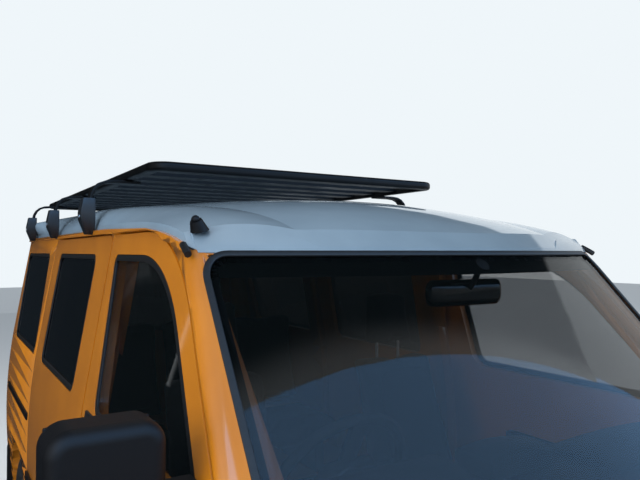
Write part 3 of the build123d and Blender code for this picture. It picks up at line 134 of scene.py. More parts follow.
# %% Sky
world = bpy.data.worlds.new("studio_sky")
scene.world = world
world.use_nodes = True
sky = world.node_tree
sky.nodes.clear()
path = add_node(sky, "ShaderNodeLightPath")
larger = {"operation": "MAXIMUM"}
seen = add_node(sky, "ShaderNodeMath", larger, {0: path.outputs["Is Camera Ray"], 1: path.outputs["Is Glossy Ray"]})
shown = add_node(sky, "ShaderNodeMath", larger, {0: seen.outputs[0], 1: path.outputs["Is Transmission Ray"]})
soft = add_node(sky, "ShaderNodeBackground", None, {"Color": linear("#DCE6F0"), "Strength": 0.62})
plain = add_node(sky, "ShaderNodeBackground", None, {"Color": linear("#EFF6FA"), "Strength": 1.0})
mixed = add_node(sky, "ShaderNodeMixShader", None, {0: shown.outputs[0], 1: soft.outputs[0], 2: plain.outputs[0]})
add_node(sky, "ShaderNodeOutputWorld", None, {"Surface": mixed.outputs[0]})


def studio_lamp(name, place, aim, size, power):
    lamp = bpy.data.lights.new(name, "AREA")
    lamp.size = size
    lamp.energy = power
    holder = bpy.data.objects.new(name, lamp)
    scene.collection.objects.link(holder)
    holder.location = place
    holder.rotation_euler = (Vector(aim) - Vector(place)).to_track_quat("-Z", "Y").to_euler()


studio_lamp("overhead_lamp", (-1.5, 1.5, 6.5), (0, 0.2, 1), 5.0, 240)
studio_lamp("side_lamp", (-6.5, -2.5, 3.5), (0, 0, 1), 4.0, 260)

bpy.ops.mesh.primitive_plane_add(size=60, location=(0, 0, 0))
floor = bpy.context.object
floor.name = "studio_floor"
floor_paint = bpy.data.materials.new("pale_studio_floor")
floor_paint.use_nodes = True
floor_shader = floor_paint.node_tree.nodes["Principled BSDF"]
floor_shader.inputs["Base Color"].default_value = linear("#DADCDD")
floor_shader.inputs["Roughness"].default_value = 0.9
floor.data.materials.append(floor_paint)
floor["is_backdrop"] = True

# %% [markdown]
# ## Black flags
# Car photographers hang dark cloths, called flags, where they don't want a bright sky in the glass.
# They are seen only by reflections: above, beside and behind the van and on the floor. Glass keeps its depth.
# Each fades to the sky's tone towards its edges, so that no hard line shows in the glass.

# %% Flags
flag_cloth = bpy.data.materials.new("dark_flag_cloth")
flag_cloth.use_nodes = True
flag_tree = flag_cloth.node_tree
flag_tree.nodes.clear()
flag_place = add_node(flag_tree, "ShaderNodeTexCoord")
flag_far = add_node(flag_tree, "ShaderNodeVectorMath", {"operation": "ABSOLUTE"}, {0: flag_place.outputs["Object"]})
flag_axes = add_node(flag_tree, "ShaderNodeSeparateXYZ", None, {"Vector": flag_far.outputs[0]})
flag_edge = add_node(flag_tree, "ShaderNodeMath", larger, {0: flag_axes.outputs["X"], 1: flag_axes.outputs["Y"]})
flag_fade = add_node(flag_tree, "ShaderNodeMapRange", {"interpolation_type": "SMOOTHSTEP"}, {
    "Value": flag_edge.outputs[0], "From Min": 0.48, "From Max": 0.5, "To Min": 0.0, "To Max": 1.0})
flag_tone = add_node(flag_tree, "ShaderNodeMixRGB", None, {
    "Fac": flag_fade.outputs[0], "Color1": linear("#20272E"), "Color2": linear("#EFF6FA")})
flag_glow = add_node(flag_tree, "ShaderNodeEmission", None, {"Color": flag_tone.outputs[0], "Strength": 1.0})
add_node(flag_tree, "ShaderNodeOutputMaterial", None, {"Surface": flag_glow.outputs[0]})


def flag(name, size, place, turned, cloth=flag_cloth):
    """A panel that only reflections see."""
    bpy.ops.mesh.primitive_plane_add(size=1, location=place, rotation=turned)
    panel = bpy.context.object
    panel.name = name
    panel.scale = (size[0], size[1], 1)
    panel.data.materials.append(cloth)
    for ray in ("camera", "diffuse", "transmission", "volume_scatter", "shadow"):
        setattr(panel, "visible_" + ray, False)
    panel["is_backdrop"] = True


flag("overhead_flag", (16.4, 18.1), (-2.8, 6.8, 4.2), (0, 0, 0))
flag("side_flag", (18, 5.0), (-6.0, 4.0, 1.4), (math.radians(90), 0, math.radians(90)))
flag("rear_flag", (16, 7.0), (-1.0, 14.0, 1.6), (math.radians(90), 0, 0))
flag("floor_flag", (12, 22), (-3.0, 6.0, 0.003), (0, 0, 0))

# %% [markdown]
# The lower half of the windscreen mirrors open sky in front of the van, clear blue and brighter than the studio's.
# One blue panel in front of the overhead flag gives it that reflection, and again only reflections see it.

# %% Blue panel
blue_silk = bpy.data.materials.new("blue_reflector_silk")
blue_silk.use_nodes = True
blue_silk.node_tree.nodes.clear()
blue_glow = add_node(blue_silk.node_tree, "ShaderNodeEmission", None, {"Color": linear("#8DBDF2"), "Strength": 3.6})
add_node(blue_silk.node_tree, "ShaderNodeOutputMaterial", None, {"Surface": blue_glow.outputs[0]})
flag("blue_panel", (30, 9), (2.0, -6.68, 4.25), (0, 0, 0), blue_silk)

# %% [markdown]
# ## Finishes
# Each finish starts from what the real one is. Patterns read Object coordinates in metres, so a scale of 1000 is 1 mm.

# %% Finish helpers
def finish(name, code, rough, **extra):
    """A material with one Principled shader; extra sockets are given by name with underscores for spaces."""
    made = bpy.data.materials.new(name)
    made.use_nodes = True
    shader = made.node_tree.nodes["Principled BSDF"]
    shader.inputs["Base Color"].default_value = linear(code)
    shader.inputs["Roughness"].default_value = rough
    for socket, value in extra.items():
        shader.inputs[socket.replace("_", " ")].default_value = value
    made.diffuse_color = linear(code)
    return made


def pattern(material, kind, scale, **more):
    """One procedural pattern on Object coordinates; its factor comes back."""
    tree = material.node_tree
    place = add_node(tree, "ShaderNodeTexCoord")
    made = add_node(tree, kind, None, {"Vector": place.outputs["Object"], "Scale": scale, **more})
    return made.outputs.get("Fac") or made.outputs["Distance"]


def noise(material, scale, detail=2.0):
    """Soft cloudy noise on Object coordinates."""
    return pattern(material, "ShaderNodeTexNoise", scale, Detail=detail)


def bump(material, height, depth, strength=1.0):
    """Relief of a depth in metres on the material's shader, over any relief it has."""
    tree = material.node_tree
    shader = tree.nodes["Principled BSDF"]
    made = add_node(tree, "ShaderNodeBump", None, {"Height": height, "Distance": depth, "Strength": strength})
    if shader.inputs["Normal"].is_linked:
        tree.links.new(shader.inputs["Normal"].links[0].from_socket, made.inputs["Normal"])
    tree.links.new(made.outputs["Normal"], shader.inputs["Normal"])


def spread(material, factor, low, high, out_low, out_high, socket="Roughness"):
    """A socket that follows a pattern between two values."""
    tree = material.node_tree
    made = add_node(tree, "ShaderNodeMapRange", None, {
        "Value": factor, "From Min": low, "From Max": high, "To Min": out_low, "To Max": out_high})
    tree.links.new(made.outputs[0], tree.nodes["Principled BSDF"].inputs[socket])


def shades(material, factor, code_low, code_high, low=0.35, high=0.65):
    """Colour that varies between two shades with a pattern."""
    tree = material.node_tree
    ramp = add_node(tree, "ShaderNodeValToRGB", None, {"Fac": factor})
    ramp.color_ramp.elements[0].position = low
    ramp.color_ramp.elements[0].color = linear(code_low)
    ramp.color_ramp.elements[1].position = high
    ramp.color_ramp.elements[1].color = linear(code_high)
    tree.links.new(ramp.outputs["Color"], tree.nodes["Principled BSDF"].inputs["Base Color"])


# %% [markdown]
# Enamel on a car is smooth paint under a clear coat. Sprayed coats keep a faint waviness called orange peel,
# with cells of about 4 mm, and road dust leaves the colour a shade uneven over a hand's width.

# %% Enamels
def enamel(name, code, code_dusty, rough):
    made = finish(name, code, rough, Coat_Weight=1.0, Coat_Roughness=0.04)
    shades(made, noise(made, 6.0, 4.0), code, code_dusty)
    bump(made, noise(made, 250.0, 1.0), 0.00002, 0.5)
    return made


amber = enamel("amber_body_enamel", "#C97B08", "#BF7306", 0.38)
# The roof's paint is white; the blue-grey given here is painted shade and a painted reflection of blue sky.
roof_enamel_in_painted_shade = enamel("cool_white_roof_enamel", "#8CA5BA", "#849DB2", 0.36)

# %% [markdown]
# Bumpers and trim are injection-moulded polypropylene with a leather-like grain of about 1 mm.
# Cabin plastics are the same but softer and finer, so they scatter light more.

# %% Plastics
black_plastic = finish("grained_black_polypropylene", "#0A0B0E", 0.52, Specular_IOR_Level=0.25)
grain = pattern(black_plastic, "ShaderNodeTexVoronoi", 900.0)
bump(black_plastic, grain, 0.00012, 0.6)
shades(black_plastic, grain, "#07080B", "#0D0E12", 0.1, 0.7)
cabin_plastic = finish("soft_grained_cabin_plastic", "#0B0C0D", 0.66, Specular_IOR_Level=0.2)
grain = pattern(cabin_plastic, "ShaderNodeTexVoronoi", 1100.0)
bump(cabin_plastic, grain, 0.0001, 0.6)
shades(cabin_plastic, grain, "#090A0B", "#101112", 0.1, 0.7)
gloss_plastic = finish("polished_black_acrylic", "#08090A", 0.12, Coat_Weight=0.4)
bump(gloss_plastic, noise(gloss_plastic, 60.0), 0.00003, 0.4)
# The felt's dark grey is painted shade: it stands in for the dim light inside the cabin.
headliner_felt_in_painted_shade = finish("needled_headliner_felt", "#3E3E3D", 0.95)
shades(headliner_felt_in_painted_shade, noise(headliner_felt_in_painted_shade, 700.0, 3.0), "#353534", "#484846")
bump(headliner_felt_in_painted_shade, noise(headliner_felt_in_painted_shade, 1200.0, 2.0), 0.0004, 0.7)

# %% [markdown]
# Rubber seals and tyres are carbon-black rubber. A film of dust in the pores makes them grey rather than black.

# %% Rubbers
seal_rubber = finish("black_epdm_seal_rubber", "#0D0E0F", 0.55)
shades(seal_rubber, noise(seal_rubber, 90.0, 5.0), "#0B0C0D", "#141516")
tyre_rubber = finish("carbon_black_tyre_rubber", "#1A1A1B", 0.8)
shades(tyre_rubber, noise(tyre_rubber, 45.0, 6.0), "#151516", "#242322")
bump(tyre_rubber, noise(tyre_rubber, 1500.0, 2.0), 0.0002, 0.5)

# %% [markdown]
# The rack is steel tube under baked polyester powder: satin black with a very fine pebble, about half a millimetre.
# Chassis parts wear the same kind of paint, dulled by road dirt. The wheels are silver enamel on pressed steel.

# %% Metals
powder = finish("satin_black_powder_coat", "#050607", 0.42, Specular_IOR_Level=0.2)
bump(powder, noise(powder, 1800.0, 1.0), 0.00006, 0.5)
spread(powder, noise(powder, 14.0, 4.0), 0.3, 0.7, 0.36, 0.5)
chassis_paint = finish("dusty_chassis_paint", "#17181A", 0.62)
shades(chassis_paint, noise(chassis_paint, 12.0, 8.0), "#131415", "#2B2824")
wheel_paint = finish("silver_wheel_enamel", "#A4A8AB", 0.36, Metallic=0.55, Coat_Weight=0.6, Coat_Roughness=0.1)
shades(wheel_paint, noise(wheel_paint, 30.0, 6.0), "#9A9EA1", "#AEB2B5")
steel = finish("bright_zinc_steel", "#B8BABC", 0.32, Metallic=1.0)
spread(steel, noise(steel, 400.0, 3.0), 0.3, 0.7, 0.24, 0.42)
mirror_silver = finish("silvered_mirror_glass", "#DDE2E4", 0.02, Metallic=1.0)
spread(mirror_silver, noise(mirror_silver, 8.0, 5.0), 0.4, 0.7, 0.01, 0.05)
reflector_silver = finish("aluminised_lamp_reflector", "#D5D8DA", 0.12, Metallic=1.0)
spread(reflector_silver, noise(reflector_silver, 40.0), 0.3, 0.7, 0.08, 0.16)

# %% [markdown]
# The windscreen is laminated: two clear sheets with a film between, faintly green-grey, so it hardly dims the cabin.
# The front doors have clear tempered glass, and the panes behind them privacy glass, dark enough to hide the load.
# All are polished, with an IOR of 1.52.

# %% Glass and lamp lenses
screen_glass = finish("clear_laminated_glass", "#0C1214", 0.02, Alpha=0.38, IOR=1.52)
door_glass = finish("clear_tempered_glass", "#0C1213", 0.02, Alpha=0.3, IOR=1.52)
pane_glass = finish("dark_privacy_glass", "#060809", 0.02, Alpha=0.9, IOR=1.52)
lamp_lens = finish("clear_polycarbonate_lens", "#D9DEE0", 0.04, Transmission_Weight=0.8, Alpha=0.3, IOR=1.58)
tail_lens = finish("red_acrylic_lens", "#8C0B0E", 0.1, Transmission_Weight=0.15, Coat_Weight=0.8, IOR=1.49)
bump(tail_lens, pattern(tail_lens, "ShaderNodeTexVoronoi", 260.0), 0.0006, 0.5)
orange_lens = finish("orange_acrylic_lens", "#D0560B", 0.12, Coat_Weight=0.8, IOR=1.49)
bump(orange_lens, pattern(orange_lens, "ShaderNodeTexVoronoi", 260.0), 0.0006, 0.5)
clear_lens = finish("frosted_white_acrylic_lens", "#D6D9DB", 0.2, Coat_Weight=0.6, IOR=1.49)
bump(clear_lens, pattern(clear_lens, "ShaderNodeTexVoronoi", 260.0), 0.0006, 0.5)
frit = finish("black_ceramic_frit", "#030304", 0.4, Specular_IOR_Level=0.05)
spread(frit, noise(frit, 900.0), 0.3, 0.7, 0.35, 0.5)
for pane, dust in ((screen_glass, 0.06), (door_glass, 0.05), (pane_glass, 0.05)):
    spread(pane, noise(pane, 5.0, 8.0), 0.5, 0.8, 0.015, dust)

# %% [markdown]
# Seat cloth is a plain weave of dark yarns, 1.8 mm from thread to thread. Real ones are about 1.2 mm,
# which is too fine to show here. Two waves at right angles make the weave; where both are high a thread stands proud.

# %% Seat cloth
def woven(name, code_low, code_high, pitch):
    """Plain weave with a thread spacing in metres."""
    made = finish(name, code_low, 0.9, Sheen_Weight=0.1, Sheen_Roughness=0.5, Specular_IOR_Level=0.2)
    tree = made.node_tree
    place = add_node(tree, "ShaderNodeTexCoord")
    turned = add_node(tree, "ShaderNodeMapping", None, {
        "Vector": place.outputs["Object"], "Rotation": (0.6, 0.5, 0.4)})
    waves = []
    for way in ("X", "Y"):
        made_wave = add_node(tree, "ShaderNodeTexWave", {"bands_direction": way}, {
            "Vector": turned.outputs[0], "Scale": 0.31 / pitch, "Distortion": 0.6, "Detail": 1.0})
        waves.append(made_wave.outputs["Fac"])
    both = add_node(tree, "ShaderNodeMath", {"operation": "MULTIPLY"}, {0: waves[0], 1: waves[1]})
    shades(made, both.outputs[0], code_low, code_high, 0.1, 0.8)
    bump(made, both.outputs[0], 0.0002, 0.3)
    return made


# The seat cloth's near-black yarns are partly its own dark colour and partly painted shade that keeps the cabin dim.
seat_cloth_in_painted_shade = woven("dark_woven_seat_cloth", "#0A0B0D", "#0F1012", 0.0018)
facing_cloth = woven("grey_woven_facing_cloth", "#101113", "#17181B", 0.0018)

# %% Finishes of the CAD nodes
finishes = {
    "body_paint": amber, "roof_paint": roof_enamel_in_painted_shade, "black_plastic": black_plastic, "cabin_plastic": cabin_plastic,
    "seat_fabric": seat_cloth_in_painted_shade, "clear_glass": screen_glass, "tinted_glass": pane_glass, "lamp_lens": lamp_lens,
    "tail_lens": tail_lens, "chassis_metal": chassis_paint, "rack_metal": powder, "wheel_steel": wheel_paint,
    "tyre_rubber": tyre_rubber,
}
for part in frame["record"]["subparts"]:
    kind = door_glass if part["node"].startswith("door_glass") else finishes[part["material_slot"]]
    nodes[part["node"]].data.materials.clear()
    nodes[part["node"]].data.materials.append(kind)


# %% [markdown]
# ## Modelling helpers
# New pieces start as a primitive at its size and place, and are shaped in edit mode by operators, as by hand.
# Faces and edges are picked in code by where they are or which way they look.

# %% Selection helpers
def clear():
    """Leave edit mode and select nothing."""
    if bpy.context.mode != "OBJECT":
        bpy.ops.object.mode_set(mode="OBJECT")
    bpy.ops.object.select_all(action="DESELECT")


def work_on(piece):
    """Make one piece the only selected and active object."""
    clear()
    piece.select_set(True)
    bpy.context.view_layer.objects.active = piece


def choose(piece, kind="FACE", test=lambda part: True):
    """Open a piece in edit mode with the vertices, edges or faces selected that pass a test."""
    work_on(piece)
    bpy.ops.object.mode_set(mode="EDIT")
    bpy.ops.mesh.select_mode(type=kind)
    bpy.ops.mesh.select_all(action="DESELECT")
    mesh = bmesh.from_edit_mesh(piece.data)
    parts = {"VERT": mesh.verts, "EDGE": mesh.edges, "FACE": mesh.faces}[kind]
    parts.ensure_lookup_table()
    picked = [part for part in parts if test(part)]
    for part in picked:
        part.select_set(True)
    mesh.select_flush_mode()
    bmesh.update_edit_mesh(piece.data)
    return len(picked)


def facing(axis, way=1, least=0.9):
    """A test for faces that look along an axis (0, 1 or 2), forwards or backwards."""
    return lambda face: face.normal[axis] * way > least


def runs_along(axis):
    """A test for edges that run along an axis."""
    return lambda edge: abs((edge.verts[0].co - edge.verts[1].co).normalized()[axis]) > 0.9


# %% Making helpers
def place(piece):
    """Put a piece's place, turn and size into its mesh."""
    work_on(piece)
    bpy.ops.object.transform_apply(location=True, rotation=True, scale=True)


def primitive(kind, name, scale=(1, 1, 1), **where):
    """A mesh primitive as the start of a piece."""
    clear()
    getattr(bpy.ops.mesh, f"primitive_{kind}_add")(**where)
    piece = bpy.context.object
    piece.name = name
    piece.scale = scale
    place(piece)
    return piece


def block(name, low, high):
    """A cube between two corners, as the start of a piece."""
    low, high = Vector(low), Vector(high)
    return primitive("cube", name, size=1, location=(low + high) / 2, scale=high - low)


def modify(piece, kind, **settings):
    """Add one modifier and apply it."""
    work_on(piece)
    made = piece.modifiers.new(kind.lower(), kind)
    for name, value in settings.items():
        setattr(made, name, value)
    bpy.ops.object.modifier_apply(modifier=made.name)


def rounded(piece, width, segments=3, angle=30):
    """Round every edge sharper than an angle."""
    modify(piece, "BEVEL", width=width, segments=segments, limit_method="ANGLE", angle_limit=math.radians(angle))


def insets(*steps):
    """Inset the selected faces step by step, each by a width and a height, and leave edit mode."""
    for width, height in steps:
        bpy.ops.mesh.inset(thickness=width, depth=height)
    clear()


def let_in(piece, test, *steps):
    """Inset the faces of a piece that pass a test, each step by a width and a height."""
    choose(piece, "FACE", test)
    insets(*steps)


def divided(piece, cuts):
    """Cut every face of a piece into a finer grid."""
    choose(piece)
    bpy.ops.mesh.subdivide(number_cuts=cuts)
    clear()


def round_corners(piece, axis, width, segments):
    """Round the edges that run along one axis."""
    choose(piece, "EDGE", runs_along(axis))
    bpy.ops.mesh.bevel(offset=width, segments=segments)
    clear()


def tidy_normals(piece):
    """Merge doubles and point all faces outwards."""
    choose(piece)
    bpy.ops.mesh.remove_doubles(threshold=0.00001)
    bpy.ops.mesh.normals_make_consistent(inside=False)
    clear()


def settle(piece, material, body, angle=35):
    """Finish a piece: its place in its mesh, shading, material and the body it rides on."""
    place(piece)
    bpy.ops.object.shade_smooth_by_angle(angle=math.radians(angle))
    piece.data.materials.clear()
    piece.data.materials.append(material)
    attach(piece, body)
    return piece


def twin_of(piece, name, matrix):
    """A copy with its own mesh, moved, turned or mirrored by a matrix."""
    twin = piece.copy()
    twin.data = piece.data.copy()
    twin.name = name
    scene.collection.objects.link(twin)
    twin.matrix_world = matrix
    place(twin)
    if matrix.determinant() < 0:
        choose(twin)
        bpy.ops.mesh.flip_normals()
        clear()
    return twin


mirror_x = Matrix.Diagonal((-1, 1, 1, 1))


def pair(piece, name, material, body, angle=35):
    """Settle a left-hand piece and its mirror twin. {} in the body's name stands for the side."""
    twin = twin_of(piece, name, mirror_x)
    for side, half in (("left", piece), ("right", twin)):
        half.name = f"{name}_{side}"
        settle(half, material, body.format(side), angle)
    return piece, twin


def join(name, pieces):
    """Make one object of several."""
    clear()
    for piece in pieces:
        piece.select_set(True)
    bpy.context.view_layer.objects.active = pieces[0]
    bpy.ops.object.join()
    pieces[0].name = name
    return pieces[0]


def copy_of(node, name):
    """A new piece with a merged copy of a CAD node's mesh."""
    piece = bpy.data.objects.new(name, nodes[node].data.copy())
    scene.collection.objects.link(piece)
    piece.data.materials.clear()
    choose(piece)
    bpy.ops.mesh.remove_doubles(threshold=0.00002)
    clear()
    return piece


def keep(piece, test):
    """Delete the faces that fail a test."""
    choose(piece, "FACE", lambda face: not test(face))
    bpy.ops.mesh.delete(type="FACE")
    clear()


def tube(name, points, radius, closed=False, sides=2, order=4):
    """A round bar along a smooth line, as a mesh."""
    line = bpy.data.curves.new(name, "CURVE")
    line.dimensions = "3D"
    spline = line.splines.new("NURBS")
    spline.points.add(len(points) - 1)
    for knot, point in zip(spline.points, points):
        knot.co = (*point, 1.0)
    spline.order_u = order
    spline.use_cyclic_u = closed
    spline.use_endpoint_u = not closed
    spline.resolution_u = 6
    line.bevel_depth = radius
    line.bevel_resolution = sides
    line.use_fill_caps = True
    holder = bpy.data.objects.new(name, line)
    scene.collection.objects.link(holder)
    work_on(holder)
    bpy.ops.object.convert(target="MESH")
    piece = bpy.context.object
    tidy_normals(piece)
    return piece


def slab(piece, thickness, round_off=0.0):
    """Give an open sheet a thickness along its normals."""
    modify(piece, "SOLIDIFY", thickness=thickness, offset=1.0, use_even_offset=True)
    if round_off:
        rounded(piece, round_off, 2, 50)


def plated(piece, thickness, *steps):
    """Shape a flat face with insets and make a plate of it."""
    choose(piece)
    insets(*steps)
    slab(piece, thickness)
    tidy_normals(piece)


# %% [markdown]
# ## Seats
# A car seat is a moulded foam block under a tight cloth cover, sewn from panels, so it bulges between its seams.
# A box of the foam's size is blown up as cloth: it swells, and its sides draw in between the corners as a cover's do.
# The swelling is capped, and the seams are added afterwards as thin rolls of cloth (piping).

# %% Cushion by cloth simulation
def puffed(name, start, cap, voxel=0.006, pressure=4.0):
    """Blow a closed form up as cloth and cap how far its skin may move."""
    work_on(start)
    start.data.remesh_voxel_size = voxel
    bpy.ops.object.voxel_remesh()
    before = [vertex.co.copy() for vertex in start.data.vertices]
    cloth = start.modifiers.new("cover", "CLOTH")
    cloth.settings.use_pressure = True
    cloth.settings.uniform_pressure_force = pressure
    cloth.settings.effector_weights.gravity = 0.0
    cloth.settings.quality = 5
    cloth.settings.tension_stiffness = 25
    cloth.point_cache.frame_start, cloth.point_cache.frame_end = 1, 20
    for step in range(1, 21):
        scene.frame_set(step)
    work_on(start)
    bpy.ops.object.modifier_apply(modifier="cover")
    scene.frame_set(1)
    most = 0.0
    for vertex, rest in zip(start.data.vertices, before):
        moved = vertex.co - rest
        most = max(most, moved.length)
        if moved.length > cap:
            vertex.co = rest + moved.normalized() * cap
    print(name, "swelled", round(most * 1000, 1), "mm, capped at", cap * 1000)
    modify(start, "SMOOTH", factor=0.5, iterations=6)
    start.name = name
    return start


def foam(name, low, high, taper=0.0, lean=0.0, splits=3):
    """A foam block between two corners, narrower at the top and leaning back."""
    piece = block(name, low, high)
    divided(piece, splits)
    tall = high[2] - low[2]
    centre = (low[0] + high[0]) / 2
    for vertex in piece.data.vertices:
        share = (vertex.co.z - low[2]) / tall
        vertex.co.x = centre + (vertex.co.x - centre) * (1 - taper * share)
        vertex.co.y += lean * share
    rounded(piece, 0.025, 3, 40)
    return piece


# %% Front seats
seat_x = 0.385


def seat_foam(name, half_wide, near, far, low_z, high_z, taper=0.0, lean=0.0):
    """The foam of one seat's pad, as wide to both sides of the seat's middle."""
    return foam(name, (seat_x - half_wide, back(near), low_z), (seat_x + half_wide, back(far), high_z), taper, lean)


cushion = puffed("seat_cushion", seat_foam("seat_cushion", 0.222, 1.288, 1.742, 0.664, 0.757), 0.024)
backrest = puffed("seat_backrest", seat_foam("seat_backrest", 0.206, 1.658, 1.752, 0.768, 1.258, 0.16, 0.160), 0.022)
headrest = puffed("seat_headrest", seat_foam("seat_headrest", 0.106, 1.846, 1.916, 1.314, 1.504, 0.2, 0.022), 0.014)
soft_pieces = []
for half, share in ((cushion, 0.6), (backrest, 0.6), (headrest, 0.7)):
    for piece in pair(half, half.name, seat_cloth_in_painted_shade, "body", 60):
        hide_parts("front_seats")
        soft_pieces.append(piece)
print("front seats", [len(piece.data.polygons) for piece in soft_pieces[::2]], "faces")

# %% [markdown]
# Piping is a thin roll sewn into the seam between two panels, a few millimetres proud.
# The seams run round the seating face: they are drawn as soft-cornered rings and pushed onto the swollen cloth.

# %% Seat piping and centre panels
def onto(surface, points, lift):
    """Points moved to the nearest place on a surface and lifted off it."""
    laid = []
    for point in points:
        spot, normal = surface.closest_point_on_mesh(Vector(point))[1:3]
        laid.append(spot + normal * lift)
    return laid


def ring(centre, wide, tall, steps=28, square=4.0):
    """Points round a soft-cornered rectangle: across and along."""
    turns = [2 * math.pi * k / steps for k in range(steps)]
    pushed = lambda value: math.copysign(abs(value) ** (2 / square), value)
    return [(centre[0] + wide / 2 * pushed(math.cos(t)), centre[1] + tall / 2 * pushed(math.sin(t))) for t in turns]


cushion_line = [(x, y, 0.80) for x, y in ring((seat_x, back(1.515)), 0.30, 0.36)]
back_line = [(x, back(1.62) + (z - 0.77) * 0.33, z) for x, z in ring((seat_x, 1.03), 0.28, 0.40)]
for source, line, name in ((cushion, cushion_line, "cushion_seam"), (backrest, back_line, "backrest_seam")):
    seam = tube(name, onto(source, line, 0.0008), 0.0028, closed=True)
    pair(seam, name, facing_cloth, "body", 60)
posts = []
for post_x in (seat_x - 0.055, seat_x + 0.055):
    posts.append(tube("headrest_post", [(post_x, back(1.885), z) for z in (1.20, 1.27, 1.33, 1.36)], 0.006))
pair(join("headrest_posts", posts), "headrest_posts", steel, "body")

# %% Rear bench: one place modelled, three made
bench_half, bench_step = 0.186, 0.395
seat_block = foam("bench_cushion", (-bench_half, back(2.540), 0.716), (bench_half, back(2.915), 0.824))
bench_seat = puffed("bench_cushion", seat_block, 0.018)
rest_block = foam("bench_backrest", (-bench_half, back(2.945), 0.850), (bench_half, back(3.030), 1.312), 0.03, 0.095)
bench_rest = puffed("bench_backrest", rest_block, 0.018)
for soft in (bench_seat, bench_rest):
    name = soft.name
    places = [soft] + [twin_of(soft, name, Matrix.Translation((shift, 0, 0))) for shift in (-bench_step, bench_step)]
    for piece, spot in zip(places, ("middle", "right", "left")):
        piece.name = f"{name}_{spot}"
        settle(piece, seat_cloth_in_painted_shade, "body", 60)
        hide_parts("rear_bench")

# %% [markdown]
# ## Glass surrounds
# Every pane sits in a black rubber seal, and the windscreen has a printed black band (frit) that hides its glue.
# Both are rings of even width, so the pane's own face is inset and only the border is kept.

# %% Ring helper
def border(name, node, test, wide, thick, lift=0.0, round_off=0.0):
    """A ring of even width along the edge of a CAD pane's faces that pass a test."""
    piece = copy_of(node, name)
    keep(piece, test)
    choose(piece)
    bpy.ops.mesh.dissolve_limited(angle_limit=math.radians(0.4))
    bpy.ops.mesh.select_all(action="SELECT")
    bpy.ops.mesh.inset(thickness=wide, depth=0)
    bpy.ops.mesh.delete(type="FACE")
    clear()
    if lift:
        choose(piece)
        bpy.ops.transform.shrink_fatten(value=lift)
        clear()
    slab(piece, thick, round_off)
    print(name, len(piece.data.polygons), "faces")
    return piece


def faces_out(x_side, z_low=1.15):
    """Faces of a pane that look sideways out of the van, on one side."""
    looks_out = facing(0, x_side, 0.7)

    def test(face):
        spot = face.calc_center_median()
        return looks_out(face) and spot.x * x_side > 0 and spot.z > z_low
    return test


# %% Windscreen frit and seal
screen_out = lambda face: face.normal.y < -0.4 and face.normal.z > 0.3
screen_in = lambda face: face.normal.y > 0.4 and face.normal.z < -0.3
settle(border("windscreen_frit", "windscreen", screen_in, 0.034, 0.0006), frit, "body")
screen_ring = border("windscreen_seal", "windscreen", screen_out, 0.016, 0.007, 0.0, 0.002)
settle(screen_ring, seal_rubber, "body")

# %% Side and rear pane seals
for side, x_side in (("left", 1), ("right", -1)):
    ring_door = border(f"door_pane_seal_{side}", f"door_glass_{side}", faces_out(x_side), 0.020, 0.0065, 0.0, 0.002)
    settle(ring_door, seal_rubber, f"door_{side}")
    ring_rear = border(f"side_pane_seals_{side}", "side_glass", faces_out(x_side), 0.020, 0.0065, 0.0, 0.002)
    settle(ring_rear, seal_rubber, "body")
gate_out = facing(1, 1, 0.7)
gate_ring = border("tailgate_pane_seal", "tailgate_glass", gate_out, 0.024, 0.006, 0.0, 0.002)
settle(gate_ring, seal_rubber, "tailgate")


# %% [markdown]
# ## Body side details
# The flank is a slow curve, so trim that lies on it follows the curve's radius.
# Handles are moulded bars over a shallow cup; each starts as a box and is extruded and bevelled to its shape.

# %% Flank curve
belt_z, belt_half, upper_lean = 1.195, 0.800, 0.1714
flank_bow, widest_z, flank_centre = 2.9768, 0.7593, 2.1447
out_of_side = (0, math.radians(90), 0)
out_of_front = (math.radians(90), 0, 0)
out_of_back = (math.radians(-90), 0, 0)
handle_half = 0.085


def disc(name, spot, radius, turned, vertices=48):
    """A filled circle, as the start of a round plate."""
    return primitive("circle", name, vertices=vertices, radius=radius, fill_type="NGON", location=spot, rotation=turned)


def peg(name, spot, radius, depth, turned, vertices=24):
    """A cylinder, as the start of a bolt, knob or cap."""
    return primitive("cylinder", name, vertices=vertices, radius=radius, depth=depth, location=spot, rotation=turned)


def sheet(name, columns, rows):
    """A flat grid one metre square, as the start of a strip that is laid along lines."""
    return primitive("grid", name, x_subdivisions=columns, y_subdivisions=rows, size=1, location=(0, 0, 0))


def flank(height):
    """Half the body's width at a height, below and above the belt line."""
    if height > belt_z:
        return belt_half - (height - belt_z) * upper_lean
    return math.sqrt(flank_bow**2 - (height - widest_z) ** 2) - flank_centre


def door_handle(name, middle_back, height):
    """A pull bar with its two feet, on the left flank."""
    x = flank(height)
    y = back(middle_back)
    bar = block(name, (x + 0.020, y - handle_half, height - 0.014), (x + 0.034, y + handle_half, height + 0.014))
    divided(bar, 5)
    inwards = facing(0, -1)
    choose(bar, "FACE", lambda face: inwards(face) and abs(abs(face.calc_center_median().y - y) - 0.071) < 0.012)
    bpy.ops.mesh.extrude_region_move(TRANSFORM_OT_translate={"value": (-0.024, 0, 0)})
    clear()
    for vertex in bar.data.vertices:
        bow = 1 - ((vertex.co.y - y) / handle_half) ** 2
        if vertex.co.x > x + 0.015:
            vertex.co.x += 0.008 * bow
    rounded(bar, 0.004, 3)
    return bar


def handle_cup(name, middle_back, height):
    """A shallow oval dish behind a pull bar."""
    x = flank(height)
    cup = primitive("circle", name, vertices=48, radius=0.5, fill_type="NGON", rotation=out_of_side,
                    location=(x + 0.0012, back(middle_back), height), scale=(0.062, 0.150, 1))
    plated(cup, 0.002, (0.006, 0), (0.010, -0.0008))
    return cup


